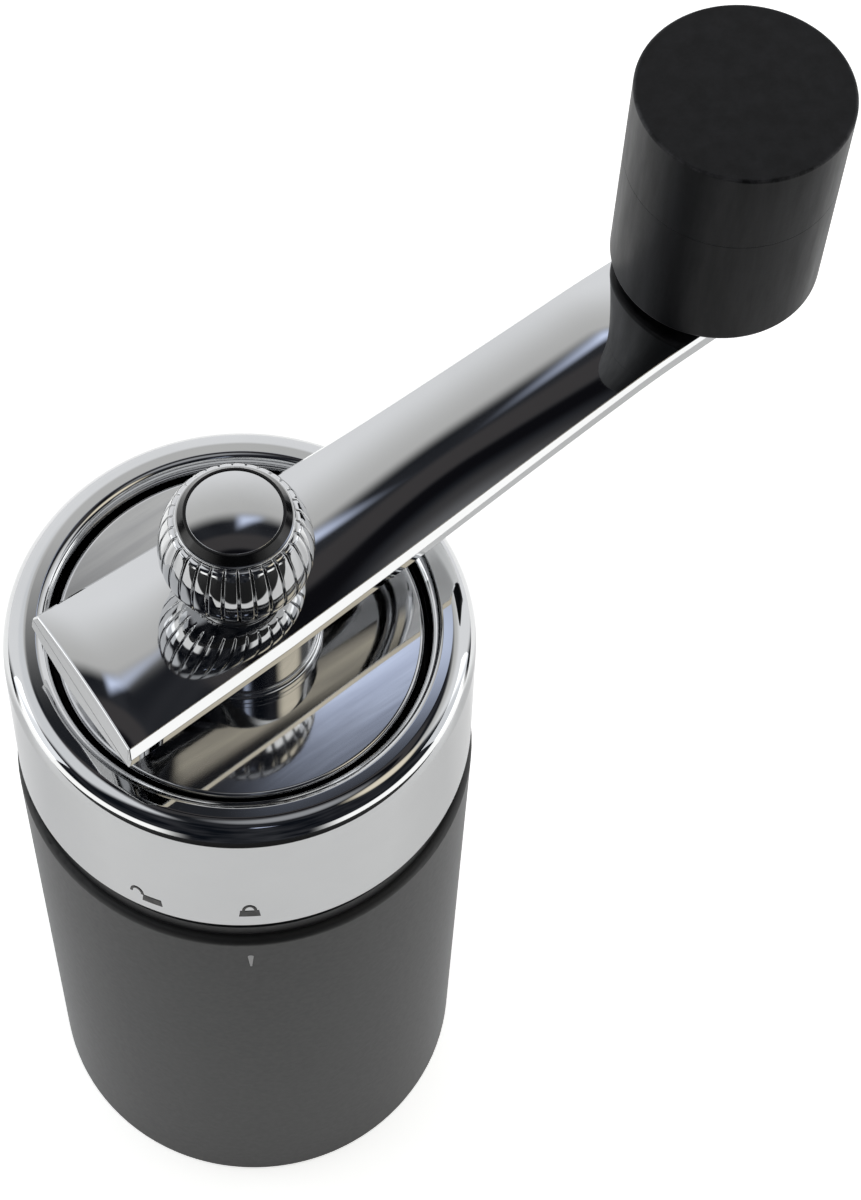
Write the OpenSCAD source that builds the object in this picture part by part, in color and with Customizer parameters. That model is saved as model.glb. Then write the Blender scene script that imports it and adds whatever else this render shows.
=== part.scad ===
// Hand-cranked nutmeg grinder.
// A whole nutmeg sits in the body under a spring-loaded claw. The crank turns the claw,
// which drags the nutmeg round on a fixed grater at the foot of the body.
// Origin: centre of the foot. +Z is up along the crank's axis, and the index mark faces -Y.

/* [Body] */
// Outer diameter of the body, which sets the chamber and the head
body_d = 50.6; // [48:0.2:60]
// Height of the body's outer shell
body_h = 75; // [68:0.5:95]
// Wall of the outer shell
shell_wall = 1.8; // [1.2:0.1:2.4]
// Thickness of the shell's foot lip
lip_t = 2; // [1.6:0.1:3]
// How far the foot lip's bore stands back from the chamber's wall
lip_step = 0.8; // [0.4:0.1:1.2]
// Rounding of the shell's outer edges
shell_edge_r = 0.8; // [0.3:0.1:1.2]

/* [Chamber] */
// Wall of the chamber's sleeve
sleeve_wall = 1.4; // [1.2:0.1:1.6]
// Height of the sleeve's flange on the foot lip
flange_h = 4; // [3:0.5:5]
// Height of the grater's ledge above the foot
ledge_z = 11; // [9:0.5:14]
// Thickness of the ledge
ledge_t = 3; // [2:0.5:4]
// Width of the ledge
ledge_w = 3.7; // [3.6:0.1:4.5]

/* [Grater] */
// Thickness of the grater plate
grater_t = 0.8; // [0.5:0.1:1.2]
// Radius of a grater hole
grater_hole_r = 0.9; // [0.5:0.1:1]
// Height of the burr round a grater hole
burr_h = 0.7; // [0.4:0.1:1]
// Width of a burr at its foot
burr_w = 0.6; // [0.4:0.1:0.8]
// Width of a burr at its top
burr_edge = 0.15; // [0.1:0.05:0.3]
// Distance from the outer ring of holes to the ledge's edge
grater_rim = 3.7; // [2.5:0.1:4.5]
// Holes in the inner ring; each ring outside it has as many again
inner_holes = 6; // [4:1:6]
// Rings of holes
grater_rings = 3; // [2:1:3]
// Distance from the chamber's wall to the grater screws
grater_screw_inset = 2; // [1.9:0.1:2.1]
// Direction of the first grater screw
grater_screw_turn = 30; // [0:5:60]

/* [Fasteners] */
// Screws in each group
screws = 3; // [2:1:4]
// Shank radius of the small screws
screw_r = 1; // [0.8:0.1:1.1]
// Head radius of the small screws
screw_head_r = 1.6; // [1.3:0.1:1.7]
// Head height of the small screws
screw_head_h = 0.9; // [0.6:0.1:1]
// Length of the small screws' shanks
screw_len = 3.4; // [2.5:0.1:4]

/* [Collar] */
// Height of the dark gap between body and head
gap_h = 4.1; // [3.6:0.1:5]
// How far the collar's flange stands back from the head's side
collar_inset = 0.7; // [0.4:0.1:1.2]
// Thickness of the collar's flange
collar_t = 2; // [1.5:0.1:2.4]
// Depth of the collar's spigot in the shell
spigot_h = 4; // [3:0.5:6]
// Wall of the collar's neck
neck_wall = 2; // [1.8:0.1:2.1]
// Height of the neck above the flange
neck_h = 10; // [9:0.5:11]
// Height of the bayonet lugs
lug_h = 2; // [1.5:0.1:2.5]
// Height of the lugs above the head's lower edge
lug_lift = 3; // [2.5:0.1:3.5]
// Bayonet lugs
lugs = 3; // [2:1:4]
// Direction of the first lug
lug_turn = 60; // [40:5:80]
// Angle that one lug covers
lug_angle = 12; // [8:1:16]
// Angle from locked to unlocked
twist_angle = 25; // [20:1:30]

/* [Head] */
// How far the head stands back from the body's side
body_step = 0.3; // [0:0.1:0.6]
// Draft of the head's side over its height
head_draft = 0.3; // [0:0.1:0.5]
// Height of the head
head_h = 21; // [20:0.5:24]
// Wall of the head
head_wall = 1.3; // [1:0.1:1.6]
// Rounding of the head's shoulder
shoulder_r = 2.6; // [2:0.1:3.2]
// Wall of the carrier's skirt inside the head
skirt_wall = 1.45; // [1.2:0.05:1.8]
// Width of the head's top, from its side to its opening
head_rim = 4.7; // [4.2:0.1:5]
// Drop of the head's inner lip below its crown
lip_drop = 1.7; // [1.2:0.1:2]
// Thickness of the carrier's plate
carrier_t = 3; // [2.5:0.1:3.5]
// Radius of the carrier's bearing hub
carrier_hub_r = 8.6; // [8:0.1:10]
// Wall of the bearing bush
bush_wall = 1.5; // [1:0.1:2]
// Thickness of the bush's flange
bush_flange_t = 1.2; // [0.8:0.1:1.4]

/* [Shaft] */
// Radius of the drive shaft
shaft_r = 4.5; // [4.2:0.1:4.8]
// Radius of the claw's stem
stem_r = 2.5; // [2.2:0.1:2.7]
// Radius of the stem's cross pin
pin_r = 1; // [0.8:0.1:1.2]
// Radius of the keyed part of the shaft
key_r = 3.6; // [3.4:0.1:3.8]
// Distance across the key's flats
key_flats = 5.6; // [5.2:0.1:6]
// Radius of the thread that takes the cap nut
stud_r = 2.5; // [2.2:0.1:2.6]
// Length of the thread
stud_l = 7.4; // [6:0.1:8]
// Height of the shaft's lower end above the foot
shaft_low_z = 46; // [44:0.5:50]
// Thickness of the thrust washer
thrust_t = 0.6; // [0.4:0.1:0.8]
// Thickness of the circlip
clip_t = 0.8; // [0.6:0.1:1]
// Depth of the circlip's groove
clip_depth = 0.6; // [0.4:0.1:0.8]
// How far the circlip stands out of its groove
clip_out = 1.6; // [1.2:0.1:2]
// Half angle of the circlip's opening
clip_open = 30; // [20:1:50]
// Thickness of the spring's seat
seat_t = 1; // [0.8:0.1:1.5]
// Outer radius of the spring's seat
seat_r = 8; // [7.5:0.1:8.4]

/* [Claw] */
// Travel of the claw
claw_travel = 22; // [16:1:24]
// Gap between the claw's plate and the chamber's wall
claw_gap = 5.2; // [2:0.1:6]
// Thickness of the claw's plate
claw_t = 3; // [2.5:0.1:4]
// Height of the spring's spigot on the claw
claw_spigot_h = 3; // [2:0.1:4]
// Spikes on the claw
spikes = 6; // [4:1:8]
// Distance from the axis to the spikes
spike_at = 8; // [7:0.5:10]
// Radius of a spike
spike_r = 1.1; // [0.8:0.1:1.4]
// Length of a spike below the plate
spike_l = 4; // [3:0.5:5]
// Radius of a spike's point
spike_tip_r = 0.2; // [0.1:0.05:0.4]
// Gap between the spikes and the grater's burrs
spike_gap = 1.5; // [1:0.1:3]
// Height of the cross pin above the claw's plate
pin_rise = 37; // [35:0.5:38]
// Diameter of the spring's wire
wire_d = 1.2; // [0.8:0.1:1.4]
// Mean radius of the spring
coil_r = 6.1; // [6:0.1:6.6]
// Turns of the spring
coil_turns = 11; // [8:1:12]

/* [Disc and boss] */
// Width of the groove round the cover disc
groove_w = 1; // [0.6:0.1:1.4]
// Thickness of the cover disc
disc_t = 1.4; // [1:0.1:1.8]
// How far the disc lies below the head's crown
disc_drop = 1.3; // [1:0.1:1.6]
// Rounding of the disc's upper edge
disc_edge_r = 0.6; // [0.3:0.1:0.7]
// Rounding of the disc's lower edge
disc_foot_r = 0.1; // [0.05:0.05:0.3]
// Radius of the boss under the arm
boss_r = 8.2; // [7.5:0.1:8.4]
// Radius of the boss's foot flange
boss_foot_r = 8.7; // [8.5:0.1:9.2]
// Height of the boss's foot flange
boss_foot_h = 1.3; // [0.8:0.1:2]
// Height of the boss
boss_h = 6.5; // [6:0.1:7]

/* [Arm] */
// Crank length, from the axis to the knob
crank_l = 63.2; // [55:0.2:70]
// Direction of the arm at rest, from +X
crank_angle = 33.8; // [0:0.1:90]
// Height of the arm's edges above the cover disc, at the hub
arm_rise = 9.7; // [9.3:0.1:10.3]
// How far the arm climbs to the knob
arm_climb = 3.2; // [0:0.1:5]
// Half width of the arm at the hub
arm_half_w = 8.9; // [8.6:0.1:9.5]
// Half width of the arm at the knob
arm_tip_half_w = 6.8; // [6:0.1:7.5]
// How far the arm's sides draw in half way along
arm_waist = 0.4; // [0:0.1:0.8]
// How far the arm's tail stands back from the cover disc's edge
tail_inset = 0.2; // [0:0.1:3]
// Height of the arm's sides
arm_edge_h = 2.9; // [2.4:0.1:3.2]
// Bevel along the arm's upper edges
arm_bevel = 0.7; // [0.4:0.1:0.9]
// Radius of the arm's crowned top
crown_r = 20; // [16:0.5:30]
// Radius of the arm's belly
belly_r = 16.5; // [14:0.5:24]
// Depth of the flat for the nut's washer, below the crown
nut_seat_depth = 0.35; // [0.2:0.05:0.6]
// Height of the flat for the knob's washer, above the arm's edges
knob_seat_rise = 0.4; // [0.1:0.05:0.8]

/* [Cap nut] */
// Radius of the nut at its widest
nut_r = 7.85; // [7:0.05:8.5]
// Height of the fluted barrel
nut_h = 10.3; // [9.5:0.1:11]
// Height of the widest place above the barrel's foot
nut_waist_z = 4.4; // [4:0.1:4.8]
// Radius of the barrel's upper curve
nut_upper_r = 11.4; // [10:0.1:13]
// Radius of the barrel's lower curve
nut_lower_r = 4.8; // [4.6:0.1:5.2]
// Height of the nut's neck
nut_neck_h = 0.9; // [0.5:0.1:1.2]
// Radius of the nut's neck
nut_neck_r = 4.8; // [4.4:0.1:5]
// Flutes round the nut
flutes = 30; // [20:1:36]
// Angle that one groove covers
groove_angle = 3; // [2:0.5:5]
// Depth of the grooves
groove_depth = 0.45; // [0.2:0.05:0.6]
// Height of the grooves' lower ends above the barrel's foot
groove_low = 0.45; // [0.2:0.05:0.8]
// Plain band above the grooves
nut_band = 1.35; // [0.8:0.05:1.8]
// Outer radius of the black ring in the nut's top
nut_ring_r = 5.75; // [5.5:0.05:6]
// Height of the black ring above the barrel
nut_ring_h = 0.9; // [0.6:0.1:1.2]
// Width of the black ring's upper edge
nut_ring_edge = 0.05; // [0.03:0.01:0.1]
// How far the medallion's rim sits below the black ring's upper edge
medallion_sink = 0.1; // [0:0.05:0.2]
// Radius of the medallion
medallion_r = 4.8; // [4.6:0.05:5]
// Dome of the medallion
medallion_dome = 0.5; // [0.2:0.1:0.8]
// Depth of the medallion's seat in the nut
medallion_seat = 0.8; // [0.5:0.1:1]
// Thickness of the captive washer
nut_washer_t = 0.6; // [0.4:0.1:0.8]

/* [Knob] */
// Radius of the knob
knob_r = 11.25; // [10:0.05:13]
// Height of the knob
knob_h = 27.3; // [25:0.1:32]
// Height of the knob's cap, above the seam
knob_cap_h = 10.8; // [9:0.1:12]
// Rounding of the knob's upper edge
knob_edge_r = 0.5; // [0.2:0.1:1]
// Rounding of the knob's lower edge
knob_foot_r = 0.8; // [0.3:0.1:1.2]
// Radius of the spigot that joins the two halves
knob_spigot_r = 8.4; // [7.5:0.1:9]
// Length of that spigot
knob_spigot_h = 3.4; // [2.5:0.1:4]
// Rounding of the two halves at the seam
knob_seam_r = 0.15; // [0.05:0.05:0.3]
// Radius of the knob's axle
axle_r = 2.5; // [2.2:0.1:3]
// Radius of the axle's thread in the arm
axle_thread_r = 2; // [1.6:0.1:2.1]
// Length of the axle's thread
axle_thread_l = 3.4; // [2.5:0.1:4]
// Length of the axle's bearing
axle_l = 12; // [10:0.5:13]
// Radius of the axle's head
axle_head_r = 4; // [3.6:0.1:4.4]
// Height of the axle's head
axle_head_h = 1.8; // [1.2:0.1:2]
// Wall of the knob's bush
knob_bush_wall = 1.8; // [1.2:0.1:2.2]
// Radius of the washer under the knob
knob_washer_r = 5.6; // [5:0.1:6]
// Thickness of the washer under the knob
knob_washer_t = 0.9; // [0.7:0.1:1.2]

/* [Clearances] */
// Radial clearance of a running fit
run_fit = 0.05; // [0.03:0.01:0.08]
// Clearance between pieces that pass each other
pass_gap = 0.35; // [0.3:0.05:0.5]
// Clearance between pieces that are fixed together
seat_gap = 0.05; // [0.02:0.01:0.1]
// Gap between flat faces that turn on each other
face_gap = 0.1; // [0.05:0.05:0.2]

/* [Hidden] */
$fn = 72;
eps = 0.01;
// How far a joined shape runs into its neighbour, and a cut past the wall it opens
overlap = 1;

// Radii, from the body's side in to the chamber
body_r = body_d / 2;
shell_bore_r = body_r - shell_wall;
head_r = body_r - body_step;
collar_r = head_r - collar_inset;
head_bore_r = head_r - head_draft - head_wall;
skirt_bore_r = head_bore_r - skirt_wall;
neck_r = skirt_bore_r - pass_gap;
sleeve_r = neck_r - neck_wall;
chamber_r = sleeve_r - sleeve_wall;
lip_bore_r = chamber_r + lip_step;
ledge_bore_r = chamber_r - ledge_w;
base_screw_at = (lip_bore_r + shell_bore_r) / 2;

// Grater
grater_r = chamber_r - 2 * seat_gap;
grater_pitch = (ledge_bore_r - grater_rim) / grater_rings;
grater_screw_at = chamber_r - grater_screw_inset;
grater_top_z = ledge_z + grater_t;
burr_top_z = grater_top_z + burr_h;

// Collar and bayonet
neck_foot_z = body_h + collar_t;
neck_top_z = neck_foot_z + neck_h;
head_z = body_h + gap_h;
lug_z = head_z + lug_lift;
lug_tip_r = sleeve_r + pass_gap;
slot_margin = asin(pass_gap / lug_tip_r);

// Head, bearing and cover disc
head_top_z = head_z + head_h;
opening_r = head_r - head_rim;
crown_at = (opening_r + head_r - head_draft - shoulder_r) / 2;
carrier_z = neck_top_z + 2 * pass_gap;
bush_r = shaft_r + run_fit + bush_wall;
disc_r = opening_r - groove_w;
disc_z = head_top_z - disc_drop;
disc_low_z = disc_z - disc_t;
bush_top_z = disc_low_z - thrust_t - face_gap;
bush_low_z = carrier_z - carrier_t;
rim_top_z = head_top_z - lip_drop - head_wall;

// Shaft, from the claw up to the cap nut
claw_r = chamber_r - claw_gap;
claw_spigot_r = coil_r - wire_d / 2 - 2 * pass_gap;
claw_z = burr_top_z + spike_gap + spike_l;
claw_top_z = claw_z + claw_t;
pin_z = claw_top_z + pin_rise;
stem_top_z = pin_z + 2 * pin_r + pass_gap;
slot_low_z = pin_z - pin_r - face_gap;
slot_high_z = pin_z + claw_travel + pin_r + face_gap;
bore_top_z = stem_top_z + claw_travel + 2 * pass_gap;
clip_z = bush_low_z - clip_t - face_gap;
seat_z = clip_z - seat_t;
coil_low_z = claw_top_z + wire_d / 2 + face_gap;
coil_high_z = seat_z - wire_d / 2 - face_gap;

// Arm: edges, crown and seats
arm_z = disc_z + arm_rise;
arm_tail = disc_r - tail_inset;
tip_z = arm_z + arm_climb;
function ease(t) = t * t * (3 - 2 * t);
function along(x) = min(1, max(0, x / (crank_l - knob_r)));
function arm_edge_z(x) = arm_z + arm_climb * ease(along(x));
arm_taper = (arm_half_w - arm_tip_half_w) / crank_l;
function arm_draw(x) = 4 * arm_waist * (x / crank_l) * (1 - x / crank_l);
function side_w(x) = arm_half_w - arm_taper * x - (x > 0 ? arm_draw(x) : 0);
function tip_w(x) = sqrt(max(0, pow(arm_tip_half_w, 2) - pow(x - crank_l, 2)));
function arm_w(x) = x > crank_l ? tip_w(x) : side_w(x);
function sag(r, w) = r - sqrt(r * r - w * w);
hub_crown_z = arm_z + sag(crown_r, arm_half_w - arm_bevel);
nut_seat_z = hub_crown_z - nut_seat_depth;
knob_seat_z = tip_z + knob_seat_rise;
// Least half width of the crown at the arm's tip, and the counts that its skin is divided into
arm_nose = 0.2;
arm_stations = 44;
tip_stations = 12;
section_arc = 10;

// Cap nut
nut_washer_z = nut_seat_z;
nut_z = nut_washer_z + nut_washer_t + face_gap;
barrel_z = nut_z + nut_neck_h;
nut_top_z = barrel_z + nut_h;
nut_bore_h = stud_l - nut_washer_t + pass_gap;

// Knob
knob_z = knob_seat_z + knob_washer_t + face_gap;
seam_z = knob_z + knob_h - knob_cap_h;
knob_bush_r = axle_r + run_fit + knob_bush_wall;
axle_low_z = knob_seat_z - axle_thread_l;
axle_head_z = knob_seat_z + knob_washer_t + axle_l;
axle_room_z = axle_head_z + axle_head_h + pass_gap;
pocket_z = axle_head_z - face_gap;

// Spring: points on its helix, rings of the wire, and its least gap to itself
rings_per_turn = 12;
wire_sides = 6;
coil_rings = coil_turns * rings_per_turn;
coil_pitch = (coil_high_z - coil_low_z) / coil_turns;
coil_gap = coil_pitch * cos(atan(coil_pitch / (2 * PI * coil_r))) - wire_d;
echo(spring_least_gap = coil_gap);

module ring(r_out, r_in, h) {
    difference() {
        cylinder(r = r_out, h = h);
        translate([0, 0, -eps]) cylinder(r = r_in, h = h + 2 * eps);
    }
}

module around(count, at, start = 0) {
    for (i = [0 : count - 1])
        rotate([0, 0, start + i * 360 / count]) translate([at, 0, 0]) children();
}

module double_d(r, flats, h) {
    intersection() {
        cylinder(r = r, h = h);
        translate([-r, -flats / 2, 0]) cube([2 * r, flats, h]);
    }
}

module sector(r_out, r_in, h, from, to) {
    rotate([0, 0, from]) rotate_extrude(angle = to - from)
        translate([r_in, 0]) square([r_out - r_in, h]);
}

module at_knob() {
    rotate([0, 0, crank_angle]) translate([crank_l, 0, 0]) children();
}

// Rounded rectangle in the r-z half plane, with a rounding at its outer lower and upper corners
module turned(r, h, low_r, high_r) {
    rotate_extrude() union() {
        translate([0, low_r]) square([r, h - low_r - high_r]);
        translate([r - low_r, low_r]) intersection() {
            circle(r = low_r);
            translate([0, -low_r]) square(low_r);
        }
        translate([r - high_r, h - high_r]) intersection() {
            circle(r = high_r);
            square(high_r);
        }
        square([r - low_r, h / 2]);
        translate([0, h / 2]) square([r - high_r, h / 2]);
    }
}

// Outer tube of soft-touch plastic, with an inward lip that it stands on
module body_shell() {
    color("dimgray") difference() {
        turned(body_r, body_h, shell_edge_r, shell_edge_r);
        translate([0, 0, lip_t]) cylinder(r = shell_bore_r, h = body_h);
        translate([0, 0, -eps]) cylinder(r = lip_bore_r, h = body_h);
        around(screws, base_screw_at) {
            translate([0, 0, -eps]) cylinder(r = screw_head_r + seat_gap, h = screw_head_h + eps);
            cylinder(r = screw_r + seat_gap, h = body_h);
        }
    }
}

// Chamber tube: flange on the lip, ledge for the grater, and the wall up into the neck
module inner_sleeve() {
    color("gray") difference() {
        translate([0, 0, lip_t]) union() {
            cylinder(r = sleeve_r, h = neck_top_z - lip_t);
            cylinder(r = shell_bore_r - seat_gap, h = flange_h);
        }
        translate([0, 0, ledge_z]) cylinder(r = chamber_r, h = neck_top_z);
        translate([0, 0, -eps]) cylinder(r = ledge_bore_r, h = neck_top_z);
        translate([0, 0, -eps]) cylinder(r = chamber_r, h = ledge_z - ledge_t + eps);
        around(screws, base_screw_at) cylinder(r = screw_r, h = screw_head_h + screw_len + seat_gap);
        around(screws, grater_screw_at, grater_screw_turn) translate([0, 0, ledge_z - ledge_t - eps])
            cylinder(r = screw_r, h = ledge_t + 2 * eps);
    }
}

// Collar on the sleeve: spigot in the shell, flange on its edge, and the neck with the bayonet slots
module bayonet_collar() {
    color("black") difference() {
        union() {
            translate([0, 0, body_h - spigot_h]) cylinder(r = shell_bore_r - seat_gap, h = spigot_h);
            translate([0, 0, body_h]) cylinder(r = collar_r, h = collar_t);
            translate([0, 0, body_h]) cylinder(r = neck_r, h = neck_top_z - body_h);
        }
        translate([0, 0, body_h - spigot_h - eps]) cylinder(r = sleeve_r, h = neck_top_z);
        for (i = [0 : lugs - 1]) rotate([0, 0, lug_turn + i * 360 / lugs]) {
            translate([0, 0, lug_z - pass_gap]) sector(
                neck_r + overlap, sleeve_r - overlap, lug_h + 2 * pass_gap,
                -lug_angle / 2 - slot_margin, twist_angle + lug_angle / 2 + 2 * slot_margin);
            translate([0, 0, lug_z]) sector(
                neck_r + overlap, sleeve_r - overlap, neck_h,
                twist_angle - lug_angle / 2 - slot_margin, twist_angle + lug_angle / 2 + slot_margin);
        }
    }
}

// Rubber ring on the collar's flange, under the head's lower edge
module neck_seal() {
    color("dimgray") translate([0, 0, neck_foot_z])
        ring(collar_r - pass_gap, neck_r, gap_h - collar_t - pass_gap);
}

// Steel plate with rings of punched holes, each with a burr that stands up
module grater_plate() {
    color("silver") difference() {
        translate([0, 0, ledge_z]) union() {
            cylinder(r = grater_r, h = grater_t);
            for (k = [1 : grater_rings]) around(inner_holes * k, k * grater_pitch)
                translate([0, 0, grater_t])
                    cylinder(r1 = grater_hole_r + burr_w, r2 = grater_hole_r + burr_edge, h = burr_h);
        }
        for (k = [1 : grater_rings]) around(inner_holes * k, k * grater_pitch)
            translate([0, 0, ledge_z - eps])
                cylinder(r = grater_hole_r, h = grater_t + burr_h + 2 * eps, $fn = 24);
        around(screws, grater_screw_at, grater_screw_turn) translate([0, 0, ledge_z - eps])
            cylinder(r = screw_r, h = grater_t + 2 * eps);
    }
}

// Pan-head screws that clamp the grater to its ledge
module grater_screws() {
    color("silver") around(screws, grater_screw_at, grater_screw_turn) {
        translate([0, 0, grater_top_z]) cylinder(r = screw_head_r, h = screw_head_h);
        translate([0, 0, ledge_z - ledge_t]) cylinder(r = screw_r, h = ledge_t + grater_t);
    }
}

// Screws through the foot lip into the sleeve's flange
module base_screws() {
    color("silver") around(screws, base_screw_at) {
        translate([0, 0, seat_gap]) cylinder(r = screw_head_r, h = screw_head_h - seat_gap);
        translate([0, 0, seat_gap]) cylinder(r = screw_r, h = screw_head_h + screw_len);
    }
}

// Half section of the solid head: drafted side and round shoulder
module head_section() {
    top_r = head_r - head_draft;
    side_h = head_h - shoulder_r;
    polygon([[0, 0], [head_r, 0], [top_r, side_h], [0, side_h]]);
    translate([top_r - shoulder_r, side_h]) circle(r = shoulder_r);
    translate([0, side_h - eps]) square([top_r - shoulder_r, shoulder_r + eps]);
}

// Chromed shell of the head: its crown falls to the inner lip round the cover disc
module head_ring() {
    color("silver") translate([0, 0, head_z]) difference() {
        rotate_extrude() head_section();
        translate([0, 0, -eps]) cylinder(r = head_bore_r, h = rim_top_z - head_z + eps);
        translate([0, 0, -eps]) cylinder(r = opening_r, h = 2 * head_h);
        translate([0, 0, head_h - lip_drop]) cylinder(r1 = opening_r, r2 = crown_at, h = lip_drop + eps);
    }
}

// Insert in the head: skirt with the lugs, plate with the bearing hub, and a rim under the head's lip
module head_carrier() {
    color("black") difference() {
        translate([0, 0, head_z + pass_gap]) cylinder(r = head_bore_r, h = rim_top_z - head_z - pass_gap);
        translate([0, 0, head_z]) cylinder(r = skirt_bore_r, h = carrier_z - head_z);
        translate([0, 0, carrier_z + carrier_t]) ring(opening_r, carrier_hub_r, head_h);
        translate([0, 0, bush_top_z - bush_flange_t]) cylinder(r = carrier_hub_r + eps, h = head_h);
        translate([0, 0, head_z]) cylinder(r = bush_r, h = head_h);
    }
    color("black") translate([0, 0, lug_z]) for (i = [0 : lugs - 1])
        rotate([0, 0, lug_turn + i * 360 / lugs])
            sector(skirt_bore_r + overlap, lug_tip_r, lug_h, -lug_angle / 2, lug_angle / 2);
}

// Flanged bush pressed into the carrier's hub
module bearing_bush() {
    color("goldenrod") difference() {
        union() {
            translate([0, 0, bush_low_z]) cylinder(r = bush_r, h = bush_top_z - bush_low_z);
            translate([0, 0, bush_top_z - bush_flange_t]) cylinder(r = carrier_hub_r, h = bush_flange_t);
        }
        translate([0, 0, bush_low_z - eps]) cylinder(r = shaft_r + run_fit, h = bush_top_z);
    }
}

// Steel shaft: hollow and slotted below, solid in the bush, keyed through the arm, threaded on top
module drive_shaft() {
    color("silver") rotate([0, 0, crank_angle]) difference() {
        union() {
            translate([0, 0, shaft_low_z]) cylinder(r = shaft_r, h = disc_low_z - shaft_low_z);
            translate([0, 0, disc_low_z]) double_d(key_r, key_flats, nut_seat_z - disc_low_z);
            translate([0, 0, nut_seat_z]) cylinder(r = stud_r, h = stud_l);
        }
        translate([0, 0, shaft_low_z - eps]) cylinder(r = stem_r + run_fit, h = bore_top_z - shaft_low_z);
        translate([-2 * shaft_r, -pin_r - face_gap, slot_low_z])
            cube([4 * shaft_r, 2 * (pin_r + face_gap), slot_high_z - slot_low_z]);
        translate([0, 0, clip_z]) ring(2 * shaft_r, shaft_r - clip_depth, clip_t);
    }
}

// Washer between the bush and the cover disc
module thrust_washer() {
    color("white") translate([0, 0, disc_low_z - thrust_t]) ring(carrier_hub_r, shaft_r, thrust_t);
}

// Open circlip in the shaft's groove, under the bush
module shaft_circlip() {
    color("dimgray") translate([0, 0, clip_z])
        sector(shaft_r + clip_out, shaft_r - clip_depth, clip_t, clip_open, 360 - clip_open);
}

// Washer that the spring pushes up against the circlip
module spring_seat() {
    color("silver") translate([0, 0, seat_z]) ring(seat_r, shaft_r, seat_t);
}

// Pressure spring as one helical tube
module claw_spring() {
    function centre(k) = [coil_r * cos(360 * k / rings_per_turn), coil_r * sin(360 * k / rings_per_turn),
        coil_low_z + coil_pitch * k / rings_per_turn];
    function wire_point(k, j) = centre(k) + wire_d / 2 * (
        cos(360 * j / wire_sides) * [cos(360 * k / rings_per_turn), sin(360 * k / rings_per_turn), 0]
        + sin(360 * j / wire_sides) * [0, 0, 1]);
    points = [for (k = [0 : coil_rings]) for (j = [0 : wire_sides - 1]) wire_point(k, j)];
    sides = [for (k = [0 : coil_rings - 1]) for (j = [0 : wire_sides - 1]) for (half = [0, 1])
        let (a = k * wire_sides + j, b = k * wire_sides + (j + 1) % wire_sides)
        half == 0 ? [a, b, b + wire_sides] : [a, b + wire_sides, a + wire_sides]];
    last = coil_rings * wire_sides;
    ends = [for (j = [1 : wire_sides - 2]) for (half = [0, 1])
        half == 0 ? [0, j + 1, j] : [last, last + j, last + j + 1]];
    color("silver") polyhedron(points, concat(sides, ends));
}

// Polished disc that turns with the crank, keyed on the shaft
module cover_disc() {
    color("gainsboro") difference() {
        translate([0, 0, disc_low_z]) turned(disc_r, disc_t, disc_foot_r, disc_edge_r);
        rotate([0, 0, crank_angle]) translate([0, 0, disc_low_z - eps])
            double_d(key_r + seat_gap, key_flats + 2 * seat_gap, disc_t + 2 * eps);
    }
}

// Boss between the disc and the arm, with a foot flange
module hub_boss() {
    color("gainsboro") difference() {
        translate([0, 0, disc_z]) union() {
            cylinder(r = boss_r, h = boss_h);
            cylinder(r = boss_foot_r, h = boss_foot_h);
        }
        rotate([0, 0, crank_angle]) translate([0, 0, disc_z - eps])
            double_d(key_r + seat_gap, key_flats + 2 * seat_gap, boss_h + 2 * eps);
    }
}

// One closed section of the arm: crowned top between two bevels, upright sides, round belly
function section_points(x) =
    let (w = max(arm_bevel + arm_nose, arm_w(x)), z = arm_edge_z(x))
    let (top = w - arm_bevel, low = z - arm_edge_h)
    concat(
        [for (i = [0 : section_arc]) let (y = top * (1 - 2 * i / section_arc))
            [x, y, z + sag(crown_r, top) - sag(crown_r, y)]],
        [[x, -w, z - arm_bevel]],
        [for (i = [0 : section_arc]) let (y = w * (2 * i / section_arc - 1))
            [x, y, low - sag(belly_r, w) + sag(belly_r, y)]],
        [[x, w, z - arm_bevel]]);

// Stations along the arm, closer together round its tip
function station_x(i) =
    let (straight = arm_stations - tip_stations)
    i <= straight ? -arm_tail + (crank_l + arm_tail) * i / straight
        : crank_l + (arm_tip_half_w - arm_nose) * sin(90 * (i - straight) / tip_stations);

// Chromed arm: a swept bar, faced off where the boss, the nut's washer and the knob's washer seat
module crank_arm() {
    per = 2 * section_arc + 4;
    points = [for (i = [0 : arm_stations]) each section_points(station_x(i))];
    skin = [for (i = [0 : arm_stations - 1]) for (j = [0 : per - 1]) for (half = [0, 1])
        let (a = i * per + j, b = i * per + (j + 1) % per)
        half == 0 ? [a, b, b + per] : [a, b + per, a + per]];
    last = arm_stations * per;
    ends = [for (j = [1 : per - 2]) for (half = [0, 1])
        half == 0 ? [0, j + 1, j] : [last, last + j, last + j + 1]];
    color("gainsboro") rotate([0, 0, crank_angle]) difference() {
        polyhedron(points, concat(skin, ends));
        translate([0, 0, disc_z]) cylinder(r = boss_r + seat_gap, h = boss_h);
        translate([0, 0, disc_z]) double_d(key_r + seat_gap, key_flats + 2 * seat_gap, head_h);
        translate([0, 0, nut_seat_z]) cylinder(r = nut_neck_r + pass_gap, h = head_h);
        translate([crank_l, 0, knob_seat_z]) cylinder(r = knob_washer_r + pass_gap, h = head_h);
        translate([crank_l, 0, axle_low_z]) cylinder(r = axle_thread_r, h = head_h);
    }
}

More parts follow.
